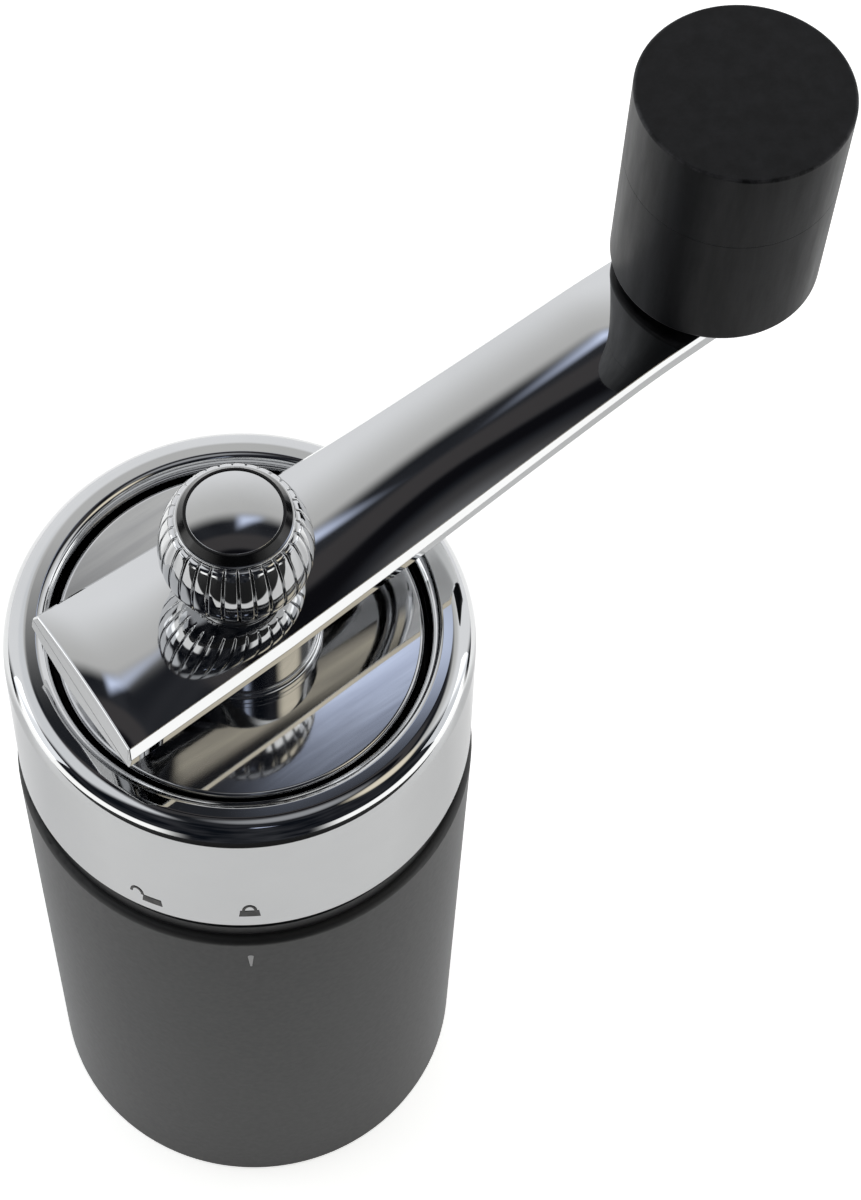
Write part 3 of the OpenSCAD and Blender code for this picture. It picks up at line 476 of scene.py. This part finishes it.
def swept_arm(name):
    """The arm's skin from its sections, with a small rounding where the tail is cut off."""
    straight, tip, bend = 130, 24, 4
    start = TAIL_EDGE_R - ARM_TAIL
    stations = [start + (CRANK_L - start) * i / straight for i in range(straight + 1)]
    turns = [math.pi / 2 * i / tip for i in range(1, tip + 1)]
    stations += [CRANK_L + (ARM_TIP_W - TIP_SHORT) * math.sin(turn) for turn in turns]
    sections = [arm_section(x) for x in stations]
    per = len(sections[0])
    rows = []
    for k in range(bend, 0, -1):
        c, t = math.cos(math.pi / 2 * k / bend), math.sin(math.pi / 2 * k / bend)
        inset = TAIL_EDGE_R * (1 - c)
        rows.append([
            (Vector((start - TAIL_EDGE_R * t, y - ny * inset, z - nz * inset)), Vector((-t, ny * c, nz * c)))
            for y, z, ny, nz in sections[0]])
    for i, (x, section) in enumerate(zip(stations, sections)):
        before, after = max(0, i - 1), min(len(stations) - 1, i + 1)
        row = []
        for j, (y, z, ny, nz) in enumerate(section):
            first, last = sections[before][j], sections[after][j]
            run = Vector((stations[after] - stations[before], last[0] - first[0], last[1] - first[1]))
            row.append((Vector((x, y, z)), run.cross(Vector((0, nz, -ny))).normalized()))
        rows.append(row)
    lay = Matrix.Rotation(CRANK_ANGLE, 3, "Z")
    points, normals = [], []
    for row in rows:
        for p, n in row:
            lean = TAIL_LEAN * max(0.0, 1 - (p.x + ARM_TAIL) / LEAN_REACH) ** 2
            skew = TAIL_SKEW * min(1.0, max(0.0, (-SKEW_FROM - p.x) / SKEW_REACH))
            turn_back = POLISH_BACK * smooth((-POLISH_TURNS - p.x) / POLISH_TURN_REACH)
            polish = TAIL_POLISH * max(0.0, n.z) * (smooth(-p.x / POLISH_REACH) - turn_back)
            points.append(lay @ Vector((p.x + lean * (p.z - ARM_Z) + skew * p.y, p.y, p.z)))
            normals.append((lay @ Vector((n.x + polish, n.y - skew * n.x, n.z - lean * n.x))).normalized())
    faces = [
        (i * per + j, i * per + (j + 1) % per, (i + 1) * per + (j + 1) % per, (i + 1) * per + j)
        for i in range(len(rows) - 1) for j in range(per)]
    faces.append(tuple(reversed(range(per))))
    faces.append(tuple(range((len(rows) - 1) * per, len(rows) * per)))
    return shaded(name, points, normals, faces)


arm_chrome = chromed("arm_chrome", gloss=(0.02, 0.06), smears=30.0)
fit(swept_arm("swept_arm"), arm_chrome, "crank", "polished_chrome", "crank_arm")

# Cap nut: a chromed thumb nut with a grooved barrel, a small collar at its top, a black ring that
# slopes away from the middle, and a plain domed disc set in it. It clamps the arm to the shaft.
NUT_Z, NUT_NECK_R, BARREL_Z, NUT_H = 110.61, 4.8, 111.51, 10.3
NUT_R, NUT_WAIST, NUT_UPPER_R, NUT_LOWER_R = 7.85, 4.4, 11.4, 4.8
FLUTES, FLUTE_DEPTH, FLUTE_LOW, FLUTE_RUN_IN, GROOVE_SHARE, LAND_CROWN = 30, 0.4, 0.3, 0.7, 0.24, 0.06
HAIR_EDGE, BARREL_TOP_ROUND = 0.05, 0.8
COLLAR_R, COLLAR_H, COLLAR_CLEAR = 5.95, 0.45, 0.01
STUD_R, MEDALLION_R, MEDALLION_SEAT, DOME = 2.55, 4.8, 0.8, 0.25
NUT_RING_R, NUT_RING_H, RING_GAP, RING_TOP_W = 5.75, 0.9, 0.01, 0.25
RING_EDGE, RING_FOOT_ROUND, RING_TOP_ROUND = 0.03, 0.06, 0.12
NUT_TOP = BARREL_Z + NUT_H


def barrel_r(z):
    """Radius of the nut's barrel at a height above its foot."""
    curve = NUT_UPPER_R if z > NUT_WAIST else NUT_LOWER_R
    return NUT_R - curve + math.sqrt(curve * curve - (z - NUT_WAIST) ** 2)


def fluted_nut(name, rows=40):
    """The nut's outline swept round, with narrow grooves that run out at the barrel's top edge."""
    height = NUT_H - COLLAR_H
    barrel = [(barrel_r(height * k / rows), BARREL_Z + height * k / rows, 0) for k in range(rows + 1)]
    barrel[0], barrel[-1] = (*barrel[0][:2], HAIR_EDGE), (*barrel[-1][:2], BARREL_TOP_ROUND)
    outline = rounded([
        (STUD_R, NUT_Z, FINE_EDGE),
        (NUT_NECK_R, NUT_Z, BROKEN_EDGE),
        (NUT_NECK_R, BARREL_Z - HAIR_EDGE, HAIR_EDGE),
        *barrel,
        (COLLAR_R, NUT_TOP - COLLAR_H, HAIR_EDGE),
        (COLLAR_R, NUT_TOP, BROKEN_EDGE),
        (MEDALLION_R, NUT_TOP, HAIR_EDGE),
        (MEDALLION_R, NUT_TOP - MEDALLION_SEAT, HAIR_EDGE),
        (STUD_R, NUT_TOP - MEDALLION_SEAT, HAIR_EDGE),
    ], steps=8)
    # Places across half a flute, from the middle of a land at 0 to the groove at 1.
    half = [0, 0.2, 0.4, 0.58, 0.7, 0.77, 0.82, 0.87, 0.92, 0.96]
    places = half + [1] + [2 - u for u in reversed(half[1:])]
    around = FLUTES * len(places)
    points, faces = [], []
    for r, z, _, _ in outline:
        on_barrel = r > COLLAR_R + COLLAR_CLEAR
        depth = FLUTE_DEPTH * smooth((z - BARREL_Z - FLUTE_LOW) / FLUTE_RUN_IN) if on_barrel else 0
        for flute in range(FLUTES):
            for u in places:
                edge = max(0.0, 1 - abs(u - 1) / GROOVE_SHARE)
                groove = depth * (0.5 - 0.5 * math.cos(math.pi * edge))
                land = LAND_CROWN * (1 - abs(u - 1)) ** 2
                reach = max(r - (groove + land), COLLAR_R) if depth else r
                angle = 2 * math.pi * (flute + u / 2) / FLUTES
                points.append((reach * math.cos(angle), reach * math.sin(angle), z))
    for i in range(len(outline)):
        low, high = i * around, (i + 1) % len(outline) * around
        for j in range(around):
            k = (j + 1) % around
            faces.append((low + j, low + k, high + k, high + j))
    made = shaded(name, points, None, faces)
    made.data.set_sharp_from_angle(angle=math.radians(50))
    return made


nut_chrome = chromed("nut_chrome", gloss=(0.03, 0.07), smears=120.0)
fit(fluted_nut("fluted_nut"), nut_chrome, "nut", "polished_chrome", "cap_nut")
ring_outline = rounded([
    (MEDALLION_R + RING_GAP, NUT_TOP, RING_EDGE),
    (NUT_RING_R, NUT_TOP, RING_FOOT_ROUND),
    (MEDALLION_R + RING_TOP_W, NUT_TOP + NUT_RING_H, RING_TOP_ROUND),
    (MEDALLION_R + RING_GAP, NUT_TOP + NUT_RING_H, RING_EDGE),
])
gloss_black = plastic(
    "gloss_black", dark=(0.004, 0.004, 0.0045), pale=(0.006, 0.006, 0.0065),
    gloss=(0.12, 0.2), size=400.0, bump=0.05, Specular_IOR_Level=0.3)
fit(turned("black_ring", ring_outline), gloss_black, "nut", "gloss_black", "nut_ring")
RIM_SINK, DOME_ROWS = 0.1, 24
RIM_Z = NUT_TOP + NUT_RING_H - RIM_SINK
shares = [k / DOME_ROWS for k in reversed(range(DOME_ROWS))]
dome = [(MEDALLION_R * share, RIM_Z + DOME * (1 - share ** 2), 0) for share in shares]
disc_in_nut = rounded([
    (0, NUT_TOP - MEDALLION_SEAT, 0),
    (MEDALLION_R, NUT_TOP - MEDALLION_SEAT, HAIR_EDGE),
    (MEDALLION_R, RIM_Z, FINE_EDGE),
    *dome,
], False)
medallion_chrome = chromed("medallion_chrome", gloss=(0.03, 0.07), smears=160.0)
fit(turned("domed_disc", disc_in_nut, False), medallion_chrome, "nut", "polished_chrome", "nut_medallion")
dress(steel, "nut_washer")

# Knob: two turned halves of satin black, glued at a fine seam, on a steel shoulder screw with a
# nylon bush. A dark washer keeps it just off the arm, so it turns freely under the fingers.
KNOB_AT = (CRANK_L * math.cos(CRANK_ANGLE), CRANK_L * math.sin(CRANK_ANGLE))
KNOB_LOW, KNOB_SEAM, KNOB_TOP, KNOB_R, KNOB_BORE_R = 113.1, 129.6, 140.4, 11.25, 4.4
KNOB_FOOT_ROUND, SEAM_R, KNOB_TOP_ROUND = 0.8, 0.045, 0.35
# The pale grey laid on the knob's top rim is a painted highlight, patchy where the rub marks are.
RUB_DARK, RUB_PALE, RIM_HIGHLIGHT_GREY = (0.0058, 0.0059, 0.0068), (0.0112, 0.0114, 0.0132), (0.045, 0.045, 0.048)
RUB_SCALE, RUB_STRETCH, RUB_TONE, RUB_GLOSS = 520.0, (1.0, 1.0, 0.14), (0.38, 0.68), (0.48, 0.38)
RIM_HIGHLIGHT_WIDTH, RIM_HIGHLIGHT_FULL, RIM_HIGHLIGHT_BREAKUP, SATIN_DEPTH = 0.4, 0.12, (0.36, 0.6), 0.03
knob_low_outline = rounded([
    (KNOB_BORE_R, KNOB_LOW, FINE_EDGE),
    (KNOB_R, KNOB_LOW, KNOB_FOOT_ROUND),
    (KNOB_R, KNOB_SEAM, SEAM_R),
    (KNOB_BORE_R, KNOB_SEAM, FINE_EDGE),
])
knob_high_outline = rounded([
    (0, KNOB_SEAM, 0),
    (KNOB_R, KNOB_SEAM, SEAM_R),
    (KNOB_R, KNOB_TOP, KNOB_TOP_ROUND),
    (0, KNOB_TOP, 0),
], False)


def satin_black_finish():
    """Satin black: upright rub marks in its tone and gloss, a fine grain, and a painted highlight on the top
    rim.
    """
    made, tree, shader = new_finish("satin_black", Specular_IOR_Level=0.16)
    grain = put(tree, "ShaderNodeGroup", node_tree=moulded_grain, Size=1600.0)
    place = put(tree, "ShaderNodeTexCoord").outputs["Object"]
    drawn = vector_step(tree, "MULTIPLY", place, RUB_STRETCH)
    marks = put(tree, "ShaderNodeTexNoise", [("Vector", drawn)], Scale=RUB_SCALE, Detail=5.0, Roughness=0.65)
    rub = marks.outputs["Fac"]
    rubbed = two_tone(tree, spread(tree, rub, *RUB_TONE), RUB_DARK, RUB_PALE)
    from_axis = vector_step(tree, "SUBTRACT", place, (KNOB_AT[0] * MM, KNOB_AT[1] * MM, 0))
    flat = vector_step(tree, "MULTIPLY", from_axis, (1, 1, 0))
    radius = put(tree, "ShaderNodeVectorMath", [(0, flat)], operation="LENGTH").outputs["Value"]
    height = put(tree, "ShaderNodeSeparateXYZ", [(0, place)]).outputs["Z"]
    # Painted highlight: the colour turns paler grey along the top outer rim, broken up by the rub marks.
    outer = spread(tree, radius, (KNOB_R - RIM_HIGHLIGHT_WIDTH) * MM, (KNOB_R - RIM_HIGHLIGHT_FULL) * MM)
    upper = spread(tree, height, (KNOB_TOP - RIM_HIGHLIGHT_WIDTH) * MM, (KNOB_TOP - RIM_HIGHLIGHT_FULL) * MM)
    rim = put(tree, "ShaderNodeMath", [(0, outer), (1, upper)], operation="MULTIPLY").outputs[0]
    patchy = spread(tree, rub, *RIM_HIGHLIGHT_BREAKUP)
    rim_highlight = put(tree, "ShaderNodeMath", [(0, rim), (1, patchy)], operation="MULTIPLY").outputs[0]
    tone = put(tree, "ShaderNodeMix", [(0, rim_highlight), (6, rubbed)], data_type="RGBA")
    tone.inputs[7].default_value = (*RIM_HIGHLIGHT_GREY, 1)
    tree.links.new(tone.outputs[2], shader["Base Color"])
    tree.links.new(spread(tree, rub, *NOISE, *RUB_GLOSS), shader["Roughness"])
    raise_bump(tree, shader, grain.outputs["Grain"], 0.2, SATIN_DEPTH)
    return made


satin_black = satin_black_finish()
fit(turned("knob_lower", knob_low_outline, centre=KNOB_AT), satin_black, "knob", "satin_black", "knob_body")
fit(turned("knob_upper", knob_high_outline, False, KNOB_AT), satin_black, "knob", "satin_black", "knob_cap")
dress(steel, "knob_axle")
dress(black_plastic, "knob_washer")
dress(nylon, "knob_bush")

# Marks: a closed and an open padlock etched dark on the head's side, and a pale printed index on the
# body below them, that show which way the head turns to lock.
LOCK_LOW_W, LOCK_HIGH_W, LOCK_LOW, LOCK_HIGH, LOCK_POINTS = 1.15, 1.0, -0.75, 0.6, 12
SHACKLE_W, SHACKLE_H, SHACKLE_BAR, SHACKLE_OPEN = 1.6, 1.35, 0.3, -1.75
DROP_R, DROP_HIGH, DROP_POINT, DROP_LOW = 0.32, 1.2, 0.1, -1.5
ETCH_T, PRINT_T = 0.03, 0.02
# Each mark's place: the radius of the side that it lies on, its bearing in degrees from -Y, its height.
CLOSED_AT, OPEN_AT, INDEX_AT = (24.96, -1.0, 82.35), (24.97, -25.2, 81.7), (25.3, -1.3, 70.2)


def on_side(name, loops, radius, azimuth, z, thickness):
    """Thin plates that follow a round side: loops are outlines (across, up), azimuth is from -Y."""
    points, faces = [], []
    for loop in loops:
        first = len(points)
        for reach in (radius, radius + thickness):
            for across, up in loop:
                angle = math.radians(azimuth) + across / radius
                points.append((reach * math.sin(angle), -reach * math.cos(angle), z + up))
        count = len(loop)
        faces.append(tuple(first + count + k for k in range(count)))
        faces.append(tuple(first + k for k in reversed(range(count))))
        for k in range(count):
            here, after = first + k, first + (k + 1) % count
            faces.append((here, after, after + count, here + count))
    made = shaded(name, points, None, faces)
    made.data.set_sharp_from_angle(angle=math.radians(30))
    return made


def padlock(shift=0.0, steps=14):
    """Outlines of a padlock: its body, and its shackle as an arch, shifted sideways where it is open."""
    edge = [2 * k / LOCK_POINTS - 1 for k in range(LOCK_POINTS + 1)]
    body = [(LOCK_LOW_W * k, LOCK_LOW) for k in edge] + [(-LOCK_HIGH_W * k, LOCK_HIGH) for k in edge]
    turns = [math.pi * k / steps for k in range(steps + 1)]
    shackle = [
        (shift + (SHACKLE_W / 2 - bar) * math.cos(a), LOCK_HIGH + (SHACKLE_H - bar) * math.sin(a))
        for bar, run in ((0.0, turns), (SHACKLE_BAR, turns[::-1])) for a in run]
    return [body, shackle]


etched = plastic(
    "etched_mark", dark=(0.045, 0.044, 0.042), pale=(0.06, 0.058, 0.055),
    gloss=(0.45, 0.6), size=900.0, bump=0.2)
pale_print = plastic(
    "pale_print", dark=(0.42, 0.42, 0.42), pale=(0.50, 0.50, 0.50),
    gloss=(0.5, 0.6), size=900.0, bump=0.1)
closed_lock = on_side("closed_padlock", padlock(), *CLOSED_AT, ETCH_T)
fit(closed_lock, etched, "head", "black_plastic")
open_lock = on_side("open_padlock", padlock(SHACKLE_OPEN), *OPEN_AT, ETCH_T)
fit(open_lock, etched, "head", "black_plastic")
half_round = [math.pi * k / 10 for k in range(11)]
drop = [(DROP_R * math.cos(a), DROP_HIGH + DROP_R * math.sin(a)) for a in half_round]
drop += [(-DROP_POINT, DROP_LOW), (DROP_POINT, DROP_LOW)]
fit(on_side("index_mark", [drop], *INDEX_AT, PRINT_T), pale_print, "base", "white_nylon")

# Studio: a pale table in a plain pale surround, lit by two soft boxes. The chrome mirrors a painted
# studio: a light backdrop, a canopy on the left, a cool strip, a warm lamp, a low glow at both sides,
# a dim ceiling with rails, and painted shade on the table's front, dark like a card. None of it
# belongs to the grinder.
scene = bpy.context.scene
scene.view_settings.view_transform = "Standard"
TABLE_HALF, TABLE_Z = 0.6, -0.1 * MM
FRONT_SHADE_EDGE, NEAR_GLOW, SIDE_GLOW, FAR_GLOW, SEEN_GLOW = -0.14, 0.42, 0.25, 0.75, 0.75
NEAR_FADE, FAR_FADE, FRONT_SHADE_FADE = (-0.03, 0.01), (0.035, 0.07), (FRONT_SHADE_EDGE - 0.01, FRONT_SHADE_EDGE)
FRONT_SHADE_BLACK, TABLE_WHITE = (0.02, 0.02, 0.02), (0.86, 0.86, 0.855)
sides = ((-1, -1), (1, -1), (1, 1), (-1, 1))
table_mesh = bpy.data.meshes.new("table")
table_mesh.from_pydata([(x * TABLE_HALF, y * TABLE_HALF, TABLE_Z) for x, y in sides], [], [(0, 1, 2, 3)])
table = bpy.data.objects.new("table", table_mesh)
scene.collection.objects.link(table)
# To the camera the table glows evenly white. In reflections its glow is painted light, brighter in front of
# the grinder and far behind it, and its front is painted shade, dark in colour and without glow.
table_white, tree, shader = new_finish("table_white", Roughness=0.6, Emission_Color=(1, 1, 0.985, 1))
seen = put(tree, "ShaderNodeLightPath").outputs["Is Camera Ray"]
place = put(tree, "ShaderNodeTexCoord").outputs["Object"]
along = put(tree, "ShaderNodeSeparateXYZ", [(0, place)]).outputs["Y"]
near = spread(tree, along, *NEAR_FADE, NEAR_GLOW, SIDE_GLOW)
far = spread(tree, along, *FAR_FADE, 0.0, FAR_GLOW - SIDE_GLOW)
front_shade = spread(tree, along, *FRONT_SHADE_FADE)
lit_floor = put(tree, "ShaderNodeMath", [(0, near), (1, far)], operation="ADD").outputs[0]
mirrored = put(tree, "ShaderNodeMath", [(0, lit_floor), (1, front_shade)], operation="MULTIPLY").outputs[0]
glow = put(tree, "ShaderNodeMix", [(0, seen), (2, mirrored)])
glow.inputs[3].default_value = SEEN_GLOW
tree.links.new(glow.outputs[0], shader["Emission Strength"])
plain = put(tree, "ShaderNodeMath", [(0, seen), (1, front_shade)], operation="MAXIMUM").outputs[0]
tree.links.new(two_tone(tree, plain, FRONT_SHADE_BLACK, TABLE_WHITE), shader["Base Color"])
table.data.materials.append(table_white)

world = bpy.data.worlds.new("studio")
scene.world = world
world.use_nodes = True
sky = world.node_tree
direction = put(sky, "ShaderNodeTexCoord").outputs["Generated"]
look = put(sky, "ShaderNodeSeparateXYZ", [(0, direction)]).outputs


def soft_step(source, low, high):
    """0 below low and 1 above high, with a soft change between. Low may be the larger of the two."""
    made = put(sky, "ShaderNodeMapRange", [("Value", source)], From_Min=low, From_Max=high)
    made.interpolation_type = "SMOOTHSTEP"
    return made.outputs["Result"]


def math_node(operation, first, second):
    """A calculation with two numbers, either of them a socket or a plain value."""
    made = put(sky, "ShaderNodeMath", operation=operation)
    for socket, value in zip(made.inputs, (first, second)):
        if isinstance(value, (int, float)):
            socket.default_value = value
        else:
            sky.links.new(value, socket)
    return made.outputs[0]


def times(first, *others):
    """All the numbers multiplied together."""
    for other in others:
        first = math_node("MULTIPLY", first, other)
    return first


def between(source, low, high, soft):
    """1 from low to high, with a soft edge."""
    return times(soft_step(source, low - soft, low), soft_step(source, high + soft, high))


def lit(under, mask, colour):
    """Lays a light of a given colour over what is under it."""
    made = put(sky, "ShaderNodeMix", [(0, mask), (6, under)], data_type="RGBA")
    made.inputs[7].default_value = (*colour, 1)
    return made.outputs[2]


ROOM_DARK, ROOM_DIM, ROOM_NOISE = (0.006, 0.008, 0.012), (0.048, 0.050, 0.057), (0.35, 0.7)
room = put(sky, "ShaderNodeTexNoise", Scale=4.0, Detail=2.0).outputs["Fac"]
ceiling = two_tone(sky, spread(sky, room, *ROOM_NOISE), ROOM_DARK, ROOM_DIM)
WALL_LOW, WALL_HIGH, WALL_FADE = (1.08, 1.09, 1.11), (0.70, 0.70, 0.69), (0.70, 0.862)
WALL_TOP, WALL_LEAN, WALL_REACH = (0.888, 0.853), 0.5, (0.28, 0.45)
wall_reach = math_node("ADD", look["Y"], times(look["Z"], WALL_LEAN))
backdrop = times(soft_step(look["Z"], *WALL_TOP), soft_step(wall_reach, *WALL_REACH))
wall = two_tone(sky, soft_step(look["Z"], *WALL_FADE), WALL_LOW, WALL_HIGH)
shade = put(sky, "ShaderNodeMix", [(0, backdrop), (6, ceiling), (7, wall)], data_type="RGBA").outputs[2]
# Each rail's colour, and its lower edge, upper edge and softness.
RAIL_LOW, RAIL_LOW_AT = (0.066, 0.062, 0.064), (0.918, 0.934, 0.012)
RAIL_GAP, RAIL_GAP_AT = (0.006, 0.006, 0.008), (0.944, 0.952, 0.007)
RAIL_HIGH, RAIL_HIGH_AT = (0.062, 0.061, 0.064), (0.966, 0.982, 0.01)
RAIL_ENDS = (0.0, 0.12)
behind = soft_step(look["Y"], *RAIL_ENDS)
for colour, reach in ((RAIL_LOW, RAIL_LOW_AT), (RAIL_GAP, RAIL_GAP_AT), (RAIL_HIGH, RAIL_HIGH_AT)):
    shade = lit(shade, times(between(look["Z"], *reach), behind), colour)
CANOPY_WHITE, CANOPY_SIDE, CANOPY_FRONT = (0.95, 0.97, 1.0), (-0.2, -0.32), (-0.35, -0.15)
CANOPY_TOP, CANOPY_LOW = (0.985, 0.95), (0.6, 0.75)
canopy = times(
    soft_step(look["X"], *CANOPY_SIDE), soft_step(look["Z"], *CANOPY_TOP),
    soft_step(look["Z"], *CANOPY_LOW), soft_step(look["Y"], *CANOPY_FRONT))
shade = lit(shade, canopy, CANOPY_WHITE)
STRIP_BLUE, STRIP_SIDES, STRIP_SLANT = (0.90, 1.01, 1.30), (0.04, 0.09, 0.05), 0.25
STRIP_LOW, STRIP_TOP = (0.858, 0.882), (0.912, 0.890)
slant = math_node("ADD", look["Z"], times(look["X"], STRIP_SLANT))
strip = times(
    between(look["X"], *STRIP_SIDES), soft_step(look["Z"], *STRIP_LOW), soft_step(slant, *STRIP_TOP))
shade = lit(shade, strip, STRIP_BLUE)
LAMP_WARM, LAMP_TOWARDS, LAMP_FADE = (1.1, 1.0, 0.80), (0.483, -0.128, 0.866), (0.975, 0.996)
towards_lamp = put(sky, "ShaderNodeVectorMath", [(0, direction)], operation="DOT_PRODUCT")
towards_lamp.inputs[1].default_value = Vector(LAMP_TOWARDS).normalized()
shade = lit(shade, soft_step(towards_lamp.outputs["Value"], *LAMP_FADE), LAMP_WARM)
GLOW_WHITE, GLOW_TOP, GLOW_SIDES, GLOW_BACK = (1.6, 1.6, 1.58), (0.24, 0.17), (0.35, 0.6), (0.25, 0.1)
level_part = math_node("POWER", math_node("SUBTRACT", 1.0, times(look["Z"], look["Z"])), 0.5)
bearing = math_node("DIVIDE", look["Y"], level_part)
aside = math_node("ABSOLUTE", look["X"], 0.0)
low_glow = times(
    soft_step(look["Z"], *GLOW_TOP), soft_step(aside, *GLOW_SIDES), soft_step(bearing, *GLOW_BACK))
shade = lit(shade, low_glow, GLOW_WHITE)
OVERHEAD_GREY, OVERHEAD_LEAN, OVERHEAD_FADE = (0.42, 0.43, 0.45), 0.1, (0.976, 1.004)
overhead = math_node("ADD", look["Z"], times(look["X"], OVERHEAD_LEAN))
shade = lit(shade, soft_step(overhead, *OVERHEAD_FADE), OVERHEAD_GREY)
seen = put(sky, "ShaderNodeLightPath").outputs["Is Camera Ray"]
sky.links.new(lit(shade, seen, (1, 1, 1)), sky.nodes["Background"].inputs["Color"])


def soft_box(name, at, aim, size, brightness, colour):
    """A rectangular soft box with a given brightness, pointing at a place on the object."""
    lamp = bpy.data.lights.new(name, "AREA")
    lamp.shape, lamp.size, lamp.size_y = "RECTANGLE", *size
    lamp.color = colour
    lamp.energy = brightness * math.pi * size[0] * size[1]
    made = bpy.data.objects.new(name, lamp)
    made.location = at
    made.rotation_mode = "QUATERNION"
    made.rotation_quaternion = (Vector(aim) - Vector(at)).to_track_quat("-Z", "Y")
    scene.collection.objects.link(made)


BOX_AIM, BOX_SIZE, BOX_WHITE = (0, 0, 0.09), (0.35, 0.35), (0.95, 0.97, 1.0)
soft_box("left_box", (-0.62, 0.02, 0.30), BOX_AIM, BOX_SIZE, 1.3, BOX_WHITE)
soft_box("right_box", (0.60, 0.02, 0.30), BOX_AIM, BOX_SIZE, 1.0, BOX_WHITE)

CAMERA_AT = (0.0, -0.14846, 0.36867)
YAW, PITCH, ROLL, FOCAL_PX, LONG_SIDE_PX = 0.1324, 1.0571, 0.0671, 2945.3, 1200
lens = bpy.data.cameras.new("camera")
lens.sensor_width = 36.0
lens.lens = FOCAL_PX / LONG_SIDE_PX * lens.sensor_width
lens.clip_start = 0.01
camera = bpy.data.objects.new("camera", lens)
ahead = Vector((math.sin(YAW) * math.cos(PITCH), math.cos(YAW) * math.cos(PITCH), -math.sin(PITCH)))
level = Vector((math.cos(YAW), -math.sin(YAW), 0))
upright = level.cross(ahead)
right = level * math.cos(ROLL) + upright * math.sin(ROLL)
up = upright * math.cos(ROLL) - level * math.sin(ROLL)
camera.matrix_world = Matrix.Translation(CAMERA_AT) @ Matrix((right, up, -ahead)).transposed().to_4x4()
scene.collection.objects.link(camera)
scene.camera = camera
